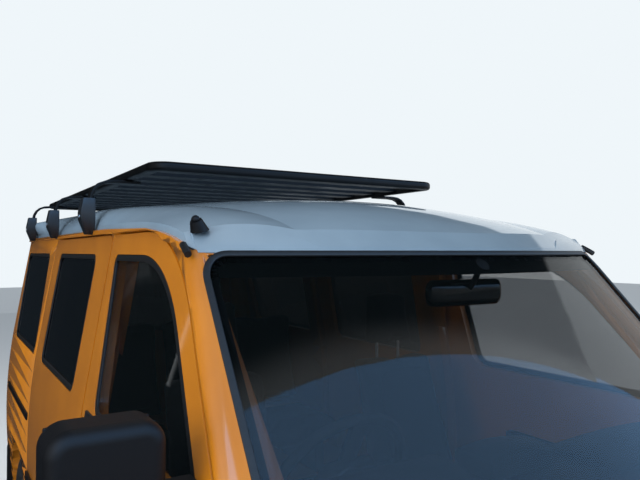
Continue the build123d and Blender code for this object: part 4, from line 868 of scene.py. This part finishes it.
# %% Door handles and key lock
handle_z = 0.985
for make, name, spot, body in (
        (door_handle, "door_handle", 1.800, "door_{}"), (handle_cup, "handle_cup", 1.800, "door_{}"),
        (door_handle, "slide_handle", 2.030, "body"), (handle_cup, "slide_cup", 2.030, "body")):
    pair(make(name, spot, handle_z), name, black_plastic, body)
lock = peg("door_lock", (flank(0.93) + 0.002, back(1.835), 0.93), 0.012, 0.008, out_of_side)
rounded(lock, 0.001, 2)
pair(lock, "door_lock", steel, "door_{}")


# %% Side mouldings and belt strips
def side_strip(name, near, far, height, tall, proud):
    """A strip on the left flank that follows its curve."""
    strip = block(name, (0, back(near), height - tall / 2), (proud, back(far), height + tall / 2))
    divided(strip, 4)
    for vertex in strip.data.vertices:
        vertex.co.x += flank(vertex.co.z) - 0.001
    rounded(strip, proud * 0.45, 3)
    return strip


for name, near, far, height, tall, proud, material, body in (
        ("door_moulding", 0.830, 1.890, 0.640, 0.095, 0.012, black_plastic, "door_{}"),
        ("slide_moulding", 1.925, 2.975, 0.640, 0.095, 0.012, black_plastic, "body"),
        ("belt_strip", 0.985, 1.842, 1.190, 0.022, 0.007, seal_rubber, "door_{}")):
    pair(side_strip(name, near, far, height, tall, proud), name, material, body)

# %% Fuel flap and side repeaters
flap = disc("fuel_flap", (flank(0.95) + 0.0008, back(3.52), 0.95), 0.078, out_of_side)
plated(flap, 0.0015, (0.003, 0.0012), (0.012, 0.0))
settle(flap, amber, "body")
side_x = flank(0.80)
repeater = block("side_repeater", (side_x - 0.002, back(0.560), 0.785), (side_x + 0.008, back(0.640), 0.815))
rounded(repeater, 0.006, 4)
pair(repeater, "side_repeater", orange_lens, "body")

# %% [markdown]
# ## Roof rack
# Each leg is a flat steel bar bent in under the rack. It stands in the roof gutter in a clamp with a nylon cover.
# The cover tapers to its foot, so a box gets four cuts and its rings are scaled. The bar is a strip laid along a line.

# %% Leg shapes
stations = (2.190, 2.950, 3.700)
nylon = finish("satin_moulded_nylon", "#151B22", 0.36)
spread(nylon, noise(nylon, 60.0, 3.0), 0.3, 0.7, 0.32, 0.44)
leg_line = [(0.733, 1.790), (0.731, 1.830), (0.728, 1.862), (0.722, 1.888), (0.711, 1.909), (0.694, 1.925),
            (0.672, 1.9335), (0.640, 1.9365), (0.590, 1.9365), (0.548, 1.9365)]


def clamp_cover(station):
    """A cover with a chamfered foot over the left-hand gutter clamp."""
    y = back(station)
    cover = block("clamp_cover", (0.712, y - 0.029, 1.742), (0.762, y + 0.029, 1.872))
    divided(cover, 4)
    for vertex in cover.data.vertices:
        share = (vertex.co.z - 1.742) / 0.130
        narrow = 0.52 + 0.48 * min(1.0, share / 0.42) - 0.10 * max(0.0, share - 0.8) / 0.2
        vertex.co.y = y + (vertex.co.y - y) * narrow
        if vertex.co.x > 0.737:
            vertex.co.x -= 0.020 * max(0.0, 0.42 - share) / 0.42 + 0.010 * max(0.0, share - 0.6) / 0.4
    rounded(cover, 0.004, 3, 25)
    return cover


def leg_bar(station):
    """A flat steel bar from the clamp, bent in under the rack."""
    y = back(station)
    bar = sheet("leg_bar", len(leg_line) - 1, 1)
    for vertex in bar.data.vertices:
        x, z = leg_line[round((vertex.co.x + 0.5) * (len(leg_line) - 1))]
        vertex.co = (x, y + vertex.co.y * 0.044, z)
    modify(bar, "SOLIDIFY", thickness=0.011, offset=0)
    tidy_normals(bar)
    rounded(bar, 0.002, 2, 50)
    return bar


def cover_bolt(station):
    """A socket-head bolt in the cover's face."""
    y = back(station)
    bolt = peg("clamp_bolt", (0.760, y, 1.806), 0.009, 0.008, out_of_side)
    let_in(bolt, facing(0), (0.004, 0), (0.0002, -0.005))
    rounded(bolt, 0.0008, 2)
    return bolt


# %% Six legs
for k, station in enumerate(stations):
    for bar in pair(leg_bar(station), f"leg_bar_{k}", powder, "body"):
        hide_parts("rack_legs")
    pair(clamp_cover(station), f"clamp_cover_{k}", nylon, "body")
    pair(cover_bolt(station), f"clamp_bolt_{k}", steel, "body")

# %% [markdown]
# The slats are held to the side tubes with flat-headed bolts: two at each end. Their washers catch the light.
# One bolt is modelled with its hexagon socket and copied to every place.

# %% Slat bolts
low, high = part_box("rack_frame")
print("rack frame box", rounded_off(low), rounded_off(high))
slat_count, first, last = 13, 1.830 + 0.036 + 0.030, 4.000 - 0.036 - 0.030
pitch = (last - first - 0.072) / (slat_count - 1)
head = primitive("cylinder", "slat_bolt", vertices=16, radius=0.0075, depth=0.0035, location=(0, 0, 0))
let_in(head, facing(2), (0.0035, 0), (0.0002, -0.002))
rounded(head, 0.0006, 1)
bolts = []
for k in range(slat_count):
    y = back(first + 0.036 + pitch * k)
    for x in (-0.545, 0.545):
        for shift in (-0.018, 0.018):
            bolts.append(twin_of(head, "slat_bolt", Matrix.Translation((x, y + shift, 1.9688))))
bpy.data.objects.remove(head)
settle(join("slat_bolts", bolts), steel, "body")

# %% [markdown]
# ## Roof edge
# The drip gutter ends in a black rubber cap at the windscreen's corner.

# %% Gutter end caps
cap_line = [(0.724, back(1.178), 1.674), (0.723, back(1.190), 1.681),
            (0.722, back(1.205), 1.689), (0.721, back(1.220), 1.696)]
cap = tube("gutter_cap", cap_line, 0.0085)
pair(cap, "gutter_cap", seal_rubber, "body")

# %% [markdown]
# ## Mirrors
# A mirror's shell is one moulding; the glass sits inside its rear rim with an even gap all round.

# %% Mirror glass
for side, x_side in (("left", 1), ("right", -1)):
    low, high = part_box(f"mirror_{side}")
    centre_x = 0.951 * x_side
    y = high[1]
    glass = primitive("plane", f"mirror_glass_{side}", size=1, location=(centre_x, y + 0.0008, 1.280),
                      rotation=out_of_back, scale=(0.150, 0.190, 1))
    modify(glass, "BEVEL", width=0.028, segments=6, affect="VERTICES")
    slab(glass, 0.002)
    tidy_normals(glass)
    settle(glass, mirror_silver, f"door_{side}")
    rim = block(f"mirror_rim_{side}", (centre_x - 0.088, y - 0.004, 1.172), (centre_x + 0.088, y + 0.004, 1.388))
    let_in(rim, facing(1), (0.012, 0), (0.001, -0.004))
    rounded(rim, 0.003, 3)
    settle(rim, black_plastic, f"door_{side}")

# %% [markdown]
# ## Head lamps
# Behind a clear lens sit an aluminised bowl, its bulb and an orange flasher. The bowl is a spun curve.
# The CAD lens is a solid block, so it is copied as a thin shell with an open back, and the bowls stand inside it.

# %% Lamp bowls
bowl_steps = 40


def bowl(name, x, y, z, radius, deep):
    """A spun reflector that opens forwards, with its bulb."""
    shell = primitive("circle", name, vertices=bowl_steps, radius=radius, location=(x, y, z), rotation=out_of_front)
    work_on(shell)
    for share, sink in ((0.93, 0.35), (0.72, 0.7), (0.42, 0.93), (0.16, 1.0)):
        choose(shell, "VERT", lambda vertex: vertex.index >= len(shell.data.vertices) - bowl_steps)
        bpy.ops.mesh.extrude_region_move()
        bpy.ops.object.mode_set(mode="OBJECT")
        for vertex in shell.data.vertices[-bowl_steps:]:
            turned = math.atan2(vertex.co.z - z, vertex.co.x - x)
            reach = radius * share
            vertex.co = (x + reach * math.cos(turned), y + deep * sink, z + reach * math.sin(turned))
    choose(shell, "VERT", lambda vertex: vertex.index >= len(shell.data.vertices) - bowl_steps)
    bpy.ops.mesh.edge_face_add()
    clear()
    slab(shell, 0.0015)
    tidy_normals(shell)
    bulb = primitive("uv_sphere", f"{name}_bulb", scale=(1, 2.2, 1), segments=20, ring_count=10, radius=0.008,
                     location=(0, 0, 0))
    bulb.location = (x, y + deep * 0.55, z)
    place(bulb)
    return shell, bulb


lamp_low, lamp_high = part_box("head_lamps")
print("head lamps", rounded_off(lamp_low), rounded_off(lamp_high))
for side, x_side in (("left", 1), ("right", -1)):
    y = lamp_low[1] + 0.030
    for name, x, shift, radius in (("dipped", 0.655, 0.020, 0.062), ("main", 0.545, 0.0, 0.056)):
        shell, bulb = bowl(f"{name}_bowl_{side}", x * x_side, y + shift, 0.692, radius, 0.040)
        settle(shell, reflector_silver, "body")
        settle(bulb, clear_lens, "body")
    near_x, far_x = sorted((0.728 * x_side, 0.778 * x_side))
    flasher = block(f"flasher_{side}", (near_x, y + 0.050, 0.635), (far_x, y + 0.075, 0.750))
    rounded(flasher, 0.010, 4)
    settle(flasher, orange_lens, "body")


def lens_face(face):
    """The lamp's clear front, with the part that wraps round the corner."""
    wraps = abs(face.normal.x) > 0.6 and face.calc_center_median().y < lamp_low[1] + 0.16
    return face.normal.y < -0.25 or wraps


lens = copy_of("head_lamps", "head_lamp_lenses")
keep(lens, lens_face)
modify(lens, "SOLIDIFY", thickness=0.003, offset=-1.0)
settle(lens, lamp_lens, "body")
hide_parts("head_lamps")
backing = copy_of("head_lamps", "head_lamp_backing")
keep(backing, lambda face: not lens_face(face))
modify(backing, "SOLIDIFY", thickness=0.002, offset=-1.0)
settle(backing, gloss_plastic, "body")

# %% [markdown]
# ## Grille
# Behind the plain bars of a grille sits a mesh that keeps stones off the radiator.
# It is a sheet with square cells: a grid whose faces are inset and deleted, then given a thickness.

# %% Grille mesh
grille_low, grille_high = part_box("grille")
print("grille", rounded_off(grille_low), rounded_off(grille_high))
mesh_sheet = primitive("grid", "grille_mesh", scale=(0.82, 0.125, 1), x_subdivisions=54, y_subdivisions=9, size=1,
                       location=(0, 0, 0))
mesh_sheet.rotation_euler = out_of_front
mesh_sheet.location = (0, grille_high[1] - 0.006, (grille_low[2] + grille_high[2]) / 2)
place(mesh_sheet)
choose(mesh_sheet)
bpy.ops.mesh.inset(thickness=0.0016, depth=0, use_individual=True)
bpy.ops.mesh.delete(type="FACE")
clear()
modify(mesh_sheet, "SOLIDIFY", thickness=0.003, offset=0)
settle(mesh_sheet, black_plastic, "body")

# %% [markdown]
# ## Tail lamps
# A tail lamp is one red moulding with a clear part for reversing and an orange one for turning.
# The parts are plates let into the lens: each is a box with rounded corners, a hair proud.

# %% Tail lamp plates
tail_low, tail_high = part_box("tail_lamps")
print("tail lamps", rounded_off(tail_low), rounded_off(tail_high))
for name, low_z, high_z, lens_kind in (
        ("turn_plate", 0.975, 1.065, orange_lens), ("reverse_plate", 0.865, 0.950, clear_lens)):
    plate = block(name, (0.700, tail_high[1] - 0.004, low_z), (0.748, tail_high[1] + 0.002, high_z))
    round_corners(plate, 1, 0.012, 5)
    rounded(plate, 0.0012, 2)
    pair(plate, name, lens_kind, "body")

# %% [markdown]
# ## Wheels
# A van tyre has ribs with zigzag blocks and a plain sidewall with a raised ring. The section is spun round the axle
# in 108 steps; in every third step the shoulder is pressed in, which leaves the cross grooves between the blocks.

# %% Tyre with tread
tyre_half = (
    (0.0650, 0.1785), (0.0650, 0.1905), (0.0690, 0.1950), (0.0760, 0.2100), (0.0772, 0.2110), (0.0800, 0.2250),
    (0.0812, 0.2262), (0.0824, 0.2440), (0.0820, 0.2560), (0.0800, 0.2740), (0.0770, 0.2870), (0.0735, 0.2960),
    (0.0680, 0.3030), (0.0610, 0.3070), (0.0500, 0.3088), (0.0425, 0.3092), (0.0415, 0.3030), (0.0355, 0.3030),
    (0.0345, 0.3094), (0.0190, 0.3099), (0.0180, 0.3030), (0.0120, 0.3030), (0.0110, 0.3100),
)
tyre_section = list(tyre_half) + [(-x, radius) for x, radius in reversed(tyre_half)]
spin_steps, tread_floor, groove_deep = 108, 0.3055, 0.0055


def treaded_tyre(name, centre, half_turn):
    """A tyre spun round the X axis at a wheel's centre."""
    start = primitive("circle", name, vertices=3, radius=0.01, location=(0, 0, 0))
    choose(start)
    bpy.ops.mesh.delete(type="VERT")
    mesh = bmesh.from_edit_mesh(start.data)
    line = [mesh.verts.new((x, 0, radius)) for x, radius in tyre_section]
    for a, b in zip(line, line[1:] + line[:1]):
        mesh.edges.new((a, b))
    bmesh.update_edit_mesh(start.data)
    bpy.ops.mesh.select_all(action="SELECT")
    bpy.ops.mesh.spin(steps=spin_steps, angle=2 * math.pi, center=(0, 0, 0), axis=(1, 0, 0), use_auto_merge=True)
    bpy.ops.mesh.select_all(action="SELECT")
    bpy.ops.mesh.remove_doubles(threshold=0.00005)
    bpy.ops.mesh.normals_make_consistent(inside=False)
    clear()
    for vertex in start.data.vertices:
        x, y, z = vertex.co
        radius = math.hypot(y, z)
        step = round(math.atan2(y, z) / (2 * math.pi / spin_steps))
        skew = step + (1 if x > 0 else 0)
        shoulder = abs(x) > 0.045 and skew % 3 == 0
        rib = 0.022 < abs(x) < 0.033 and skew % 3 == 1
        if radius > tread_floor and (shoulder or rib):
            vertex.co *= 1 - groove_deep / radius
            vertex.co.x = x
    rotation = Matrix.Rotation(half_turn, 4, "Z")
    start.matrix_world = Matrix.Translation(centre) @ rotation
    place(start)
    return start


wheel_places = {
    "front_left": (0.730, 0.735, 0.0), "front_right": (-0.730, 0.735, math.pi),
    "rear_left": (0.730, 3.385, 0.0), "rear_right": (-0.730, 3.385, math.pi),
}
for corner, (x, behind, half_turn) in wheel_places.items():
    tread = treaded_tyre(f"treaded_tyre_{corner}", (x, back(behind), 0.310), half_turn)
    settle(tread, tyre_rubber, f"wheel_{corner}", 30)
    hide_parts(f"tyre_{corner}")
print("tyre faces", len(tread.data.polygons))

# %% Wheel nuts and centre caps
hub_z, nut_circle = 0.310, 0.050


def wheel_dress(corner, x, behind):
    """Five nuts and a domed cap on the outer face of a wheel's disc."""
    side = 1 if x > 0 else -1
    face_x = abs(x) + 0.034
    parts = []
    for k in range(5):
        turned = math.radians(90 + 72 * k)
        spot = (face_x + 0.007, back(behind) + nut_circle * math.cos(turned), hub_z + nut_circle * math.sin(turned))
        nut = peg("nut", spot, 0.0105, 0.016, out_of_side, 6)
        let_in(nut, facing(0), (0.003, 0.002))
        rounded(nut, 0.0008, 2)
        parts.append(nut)
    nuts = join(f"wheel_nuts_{corner}", parts)
    cap = disc("cap", (face_x + 0.001, back(behind), hub_z), 0.033, out_of_side, 40)
    plated(cap, 0.0015, (0.0015, 0.010), (0.003, 0.003), (0.008, 0.002), (0.008, 0.001))
    cap.name = f"hub_cap_{corner}"
    for piece, material in ((nuts, steel), (cap, black_plastic)):
        if side < 0:
            name = piece.name
            other = twin_of(piece, name + "_r", mirror_x)
            bpy.data.objects.remove(piece)
            other.name = name
            piece = other
        settle(piece, material, f"wheel_{corner}")


for corner, (x, behind, half_turn) in wheel_places.items():
    wheel_dress(corner, x, behind)

# %% [markdown]
# ## Windscreen header
# The roof's front edge comes down to the windscreen's seal as one white band across the van.
# The CAD roof stops short of the screen near its corners, so a strip on the screen's own slope closes it:
# a grid laid from the seal up to the roof's edge, which is found by looking down on the roof from above.

# %% Windscreen surface and roof edge
screen_bow = 1.700


def screen_y(x, z):
    """Y of the windscreen's outer surface, which slopes and bows."""
    return back(0.490 + (z - 1.090) * 0.93 + screen_bow - math.sqrt(screen_bow**2 - x * x))


def roof_edge(x):
    """The first place from the front where a line down from above meets the roof."""
    for step in range(200):
        y = back(0.98 + 0.002 * step)
        hit, spot = nodes["roof_panel"].ray_cast(Vector((x, y, 2.2)), Vector((0, 0, -1)))[:2]
        if hit:
            return spot
    return Vector((x, screen_y(x, 1.69), 1.69))


# %% Header strip
columns, rows, half = 94, 4, 0.698
edges = [roof_edge(-half + 2 * half * k / columns) for k in range(columns + 1)]
tops = [max(edge.z for edge in edges[max(0, k - 2):k + 3]) for k in range(columns + 1)]
header = sheet("windscreen_header", columns, rows)
for vertex in header.data.vertices:
    k = round((vertex.co.x + 0.5) * columns)
    share = vertex.co.y + 0.5
    x = -half + 2 * half * k / columns
    z = 1.6785 + (max(tops[k], 1.6835) - 1.6785) * share
    gap = max(0.0, edges[k].y - screen_y(x, edges[k].z))
    vertex.co = (x, screen_y(x, z) - 0.0009 + gap * max(0.0, share - 0.5) * 1.6, z)
choose(header)
bpy.ops.mesh.normals_make_consistent(inside=False)
clear()
if header.data.polygons[0].normal.y > 0:
    choose(header)
    bpy.ops.mesh.flip_normals()
    clear()
modify(header, "SOLIDIFY", thickness=0.006, offset=-1.0)
settle(header, roof_enamel_in_painted_shade, "body", 50)
print("header strip", len(header.data.polygons), "faces")

# %% [markdown]
# ## Body sides without their inner flange
# Each CAD side carries a wide flange behind the windscreen that the real pillar doesn't have, and the glass shows it.
# The side is copied, and a curved block that follows the windscreen's slope is cut out of the copy with a Boolean.

# %% Sides with the flange cut away
for side, x_side in (("left", 1), ("right", -1)):
    cutter = block("flange_cutter", (0.340, -0.052, 1.080), (0.652, 0.052, 1.760))
    divided(cutter, 5)
    for vertex in cutter.data.vertices:
        vertex.co.y += screen_y(vertex.co.x, vertex.co.z) + 0.104
        vertex.co.x *= x_side
    tidy_normals(cutter)
    panel = copy_of(f"side_{side}", f"side_panel_{side}")
    modify(panel, "BOOLEAN", object=cutter, operation="DIFFERENCE", solver="EXACT")
    bpy.data.objects.remove(cutter)
    settle(panel, amber, "body", 30)
    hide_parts(f"side_{side}")
    print(panel.name, len(panel.data.polygons), "faces of", len(nodes[f"side_{side}"].data.polygons))

# %% [markdown]
# ## Inside mirror and visors
# The inside mirror hangs on a ball joint from a short stem on the windscreen. Its shell is thicker in the middle.
# The visors are padded boards that fold up against the headliner on a bent rod at their outer corner.

# %% Inside mirror
out_of_screen = (math.radians(47), 0, 0)
mirror_y = screen_y(0.02, 1.570) + 0.150
shell = block("inside_mirror", (-0.110, mirror_y - 0.012, 1.536), (0.150, mirror_y + 0.012, 1.606))
round_corners(shell, 1, 0.026, 6)
let_in(shell, facing(1, -1), (0.008, 0.006), (0.010, 0.004), (0.010, 0.001))
let_in(shell, facing(1), (0.004, 0), (0.0006, -0.0015))
rounded(shell, 0.0015, 2, 50)
settle(shell, gloss_plastic, "body")
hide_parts("cabin_trim")
glass = block("inside_mirror_glass", (-0.105, mirror_y + 0.0100, 1.541), (0.145, mirror_y + 0.0118, 1.601))
round_corners(glass, 1, 0.022, 6)
settle(glass, mirror_silver, "body")
stem_line = [(0.02, screen_y(0.02, 1.645) + 0.016, 1.645), (0.02, screen_y(0.02, 1.62) + 0.060, 1.625),
             (0.02, mirror_y - 0.040, 1.600), (0.02, mirror_y - 0.012, 1.578)]
stem = tube("mirror_stem", stem_line, 0.008)
foot = peg("mirror_foot", (0.02, screen_y(0.02, 1.647) + 0.0165, 1.645), 0.020, 0.010, out_of_screen)
rounded(foot, 0.002, 2)
settle(join("mirror_stem", [stem, foot]), cabin_plastic, "body")


# %% Visors
def visor():
    """A padded board folded up under the header, with a stitched edge."""
    low_y = screen_y(0.33, 1.64) + 0.055
    board = block("visor", (0.150, low_y, -0.008), (0.520, low_y + 0.145, 0.008))
    round_corners(board, 2, 0.024, 5)
    for way in (1, -1):
        let_in(board, facing(2, way), (0.006, 0.0015), (0.003, -0.001))
    rounded(board, 0.003, 3, 50)
    for vertex in board.data.vertices:
        vertex.co.z += 1.650 + (vertex.co.y - low_y) * 0.16
        vertex.co.y += screen_y(vertex.co.x, 1.64) - screen_y(0.33, 1.64)
    return board


pair(visor(), "visor", facing_cloth, "body")
rod_line = [(x, screen_y(x, 1.64) + behind, z) for x, behind, z in (
    (0.500, 0.050, 1.655), (0.530, 0.045, 1.657), (0.545, 0.050, 1.668), (0.548, 0.055, 1.690))]
rod = tube("visor_rod", rod_line, 0.005)
pair(rod, "visor_rod", cabin_plastic, "body")

# %% [markdown]
# ## Headliner
# The roof's inside is lined with needled felt on a moulded board: the roof panel's own underside, copied and lowered.

# %% Headliner
headliner = copy_of("roof_panel", "headliner")
keep(headliner, lambda face: face.normal.z < -0.6 and face.calc_center_median().z > 1.66)
choose(headliner)
bpy.ops.transform.shrink_fatten(value=0.005)
clear()
modify(headliner, "SOLIDIFY", thickness=0.003, offset=-1.0)
settle(headliner, headliner_felt_in_painted_shade, "body", 50)
print("headliner", len(headliner.data.polygons), "faces")

# %% [markdown]
# ## Shade band
# A dark band is printed along the screen's top edge, wider than the frit round the rest.
# It is a thin sheet that follows the screen's bow just inside the glass.

# %% Shade band
band = sheet("windscreen_band", 60, 4)
for vertex in band.data.vertices:
    x, z = vertex.co.x * 1.330, 1.648 + vertex.co.y * 0.050
    vertex.co = (x, screen_y(x, z) + 0.0172, z)
modify(band, "SOLIDIFY", thickness=0.0006, offset=0)
tidy_normals(band)
settle(band, frit, "body", 50)

# %% [markdown]
# ## Dashboard
# The dashboard is one moulding with separate vents, dials and a centre stack let into it.
# A vent is a frame with a stack of thin blades; it is modelled once and copied to its places.

# %% Dashboard pads
dash_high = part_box("dashboard")[1]


def pad(name, low, high, crown, width):
    """A raised pad on the dashboard's top with a crowned face."""
    piece = block(name, low, high)
    divided(piece, 5)
    for vertex in piece.data.vertices:
        across = 2 * (vertex.co.x - low[0]) / (high[0] - low[0]) - 1
        along = 2 * (vertex.co.y - low[1]) / (high[1] - low[1]) - 1
        if vertex.co.z > (low[2] + high[2]) / 2:
            vertex.co.z -= crown * (across**2 + along**2)
    rounded(piece, width, 4, 40)
    return settle(piece, cabin_plastic, "body", 60)


pad("centre_pod", (-0.130, -1.180, 1.150), (0.075, -1.060, 1.225), 0.010, 0.014)
pad("passenger_pad", (0.150, -1.300, 1.150), (0.640, -1.090, 1.190), 0.010, 0.014)


# %% Vents
def vent(name, x, y, z):
    """An air vent: a bevelled frame with five blades, facing the seats."""
    frame_block = block(name, (x - 0.055, y - 0.004, z - 0.032), (x + 0.055, y + 0.006, z + 0.032))
    let_in(frame_block, facing(1), (0.007, 0), (0.001, -0.008))
    rounded(frame_block, 0.0015, 2)
    blades = [frame_block]
    for k in range(5):
        blade = block("blade", (x - 0.047, y - 0.001, z - 0.0010), (x + 0.047, y + 0.005, z + 0.0010))
        for vertex in blade.data.vertices:
            vertex.co.z += 0.0095 * (k - 2) + (vertex.co.y - y) * 0.35
        rounded(blade, 0.0005, 1)
        blades.append(blade)
    return settle(join(name, blades), cabin_plastic, "body")


for k, x in enumerate((-0.660, -0.100, 0.020, 0.660)):
    vent(f"dash_vent_{k}", x, dash_high[1] - 0.012, 1.080)

# %% Dials and centre stack
dial_z = 1.165
for name, x, radius in (("speed_dial", -0.425, 0.050), ("engine_dial", -0.320, 0.040)):
    dial = disc(name, (x, dash_high[1] + 0.0015, dial_z), radius, out_of_back)
    plated(dial, 0.001, (0.003, 0.003), (0.002, -0.0015))
    ticks = [dial]
    for k in range(11):
        turned = math.radians(-135 + 27 * k)
        tick = block("tick", (-0.0007, -0.0006, radius * 0.72), (0.0007, 0.0006, radius * 0.86))
        tick.matrix_world = Matrix.Translation((x, dash_high[1] + 0.0042, dial_z)) @ Matrix.Rotation(turned, 4, "Y")
        place(tick)
        ticks.append(tick)
    settle(join(name, ticks), gloss_plastic, "body")
knobs = []
for k in range(3):
    knob = peg("climate_knobs", (-0.105 + 0.065 * k, dash_high[1] + 0.006, 0.935), 0.020, 0.022, out_of_front, 28)
    let_in(knob, facing(1), (0.003, 0.002), (0.010, -0.001))
    rounded(knob, 0.0015, 2)
    knobs.append(knob)
settle(join("climate_knobs", knobs), cabin_plastic, "body")
radio = block("radio_face", (-0.135, dash_high[1] - 0.006, 0.970), (0.055, dash_high[1] + 0.004, 1.035))
let_in(radio, facing(1), (0.006, 0.002), (0.004, -0.003))
rounded(radio, 0.002, 3)
settle(radio, gloss_plastic, "body")

# %% [markdown]
# ## Steering wheel hub
# The hub cover is a soft rounded square over the spokes; it is made flat and then turned onto the wheel's plane.

# %% Hub cover
tilt = math.radians(62)
wheel_spot = Vector((-0.380, back(1.100), 1.150))
wheel_turn = Matrix.Translation(wheel_spot) @ Matrix.Rotation(-tilt, 4, "X")
hub = block("hub_cover", (-0.078, -0.066, -0.046), (0.078, 0.066, -0.012))
round_corners(hub, 2, 0.034, 6)
let_in(hub, facing(2), (0.005, 0.006), (0.010, 0.004), (0.014, 0.002))
rounded(hub, 0.003, 2, 45)
hub.matrix_world = wheel_turn
place(hub)
settle(hub, cabin_plastic, "steering_wheel", 50)

# %% [markdown]
# ## Doors and rear
# Inside each front door a moulded card carries the armrest and pull; only the armrest is made here. Outside at the back
# are the tailgate's handle, its wiper and stop lamp, and reflectors in the bumper. The windscreen's wiper arms get
# their pivot caps at the cowl.

# %% Armrests
armrest = block("door_armrest", (0.700, back(1.080), 0.930), (0.752, back(1.560), 0.975))
divided(armrest, 4)
for vertex in armrest.data.vertices:
    along = (vertex.co.y - back(1.080)) / 0.480
    if vertex.co.x < 0.72:
        vertex.co.x += 0.018 * (2 * along - 1) ** 2
rounded(armrest, 0.010, 4, 40)
pair(armrest, "door_armrest", cabin_plastic, "door_{}", 60)

# %% Tailgate handle and wiper
gate_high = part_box("tailgate")[1]
handle = block("tailgate_handle", (-0.110, gate_high[1] - 0.001, 0.900), (0.110, gate_high[1] + 0.016, 0.945))
let_in(handle, facing(2, -1), (0.004, 0), (0.0005, -0.012))
rounded(handle, 0.005, 4, 50)
settle(handle, black_plastic, "tailgate")
pivot = peg("rear_wiper", (0, gate_high[1] + 0.006, 1.118), 0.018, 0.020, out_of_front, 28)
rounded(pivot, 0.004, 3)


def gate_line(*points):
    """Points off the tailgate's outer face: across, how far off it, and height."""
    return [(x, gate_high[1] + off, z) for x, off, z in points]


arm_line = gate_line((0.0, 0.014, 1.118), (0.05, 0.014, 1.135), (0.16, 0.012, 1.168), (0.24, 0.010, 1.190))
blade_line = gate_line((0.07, 0.004, 1.170), (0.18, 0.007, 1.186), (0.29, 0.007, 1.200), (0.40, 0.004, 1.212))
arm = tube("rear_wiper_arm", arm_line, 0.0045)
blade = tube("rear_wiper_blade", blade_line, 0.0042)
settle(join("rear_wiper", [pivot, arm, blade]), black_plastic, "tailgate")

# %% Rear reflectors and high stop lamp
bumper_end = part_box("rear_bumper")[1][1]
reflector = block("bumper_reflector", (0.560, bumper_end - 0.006, 0.470), (0.680, bumper_end + 0.003, 0.505))
round_corners(reflector, 1, 0.008, 4)
rounded(reflector, 0.0015, 2, 50)
pair(reflector, "bumper_reflector", tail_lens, "body")
stop = block("high_stop_lamp", (-0.130, gate_high[1] - 0.001, 1.650), (0.130, gate_high[1] + 0.008, 1.672))
round_corners(stop, 1, 0.009, 4)
rounded(stop, 0.002, 2, 50)
settle(stop, tail_lens, "tailgate")

# %% Wiper pivots
caps = []
for x in (-0.560, 0.060):
    cap = peg("wiper_caps", (x, screen_y(x, 1.100) - 0.014, 1.100), 0.016, 0.020, out_of_screen, 28)
    let_in(cap, facing(2, 1, 0.6), (0.004, 0.002))
    rounded(cap, 0.002, 2)
    caps.append(cap)
settle(join("wiper_caps", caps), black_plastic, "body")

# %% Fog lamp covers
# Blank round covers close the fog lamps' places. Each disc is laid on the bumper's curve by looking at it from ahead.
cover = disc("fog_lamp_cover", (0.600, 0, 0.420), 0.048, out_of_front, 40)
for vertex in cover.data.vertices:
    ahead = Vector((vertex.co.x, -2.4, vertex.co.z))
    hit, spot = nodes["front_bumper"].ray_cast(ahead, Vector((0, 1, 0)))[:2]
    vertex.co.y = (spot.y if hit else vertex.co.y) - 0.001
plated(cover, 0.0015, (0.006, 0.003), (0.004, -0.003))
pair(cover, "fog_lamp_cover", black_plastic, "body")
print("rear and doors dressed")

# %% Bounds of the finished scene, and the end
low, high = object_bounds()
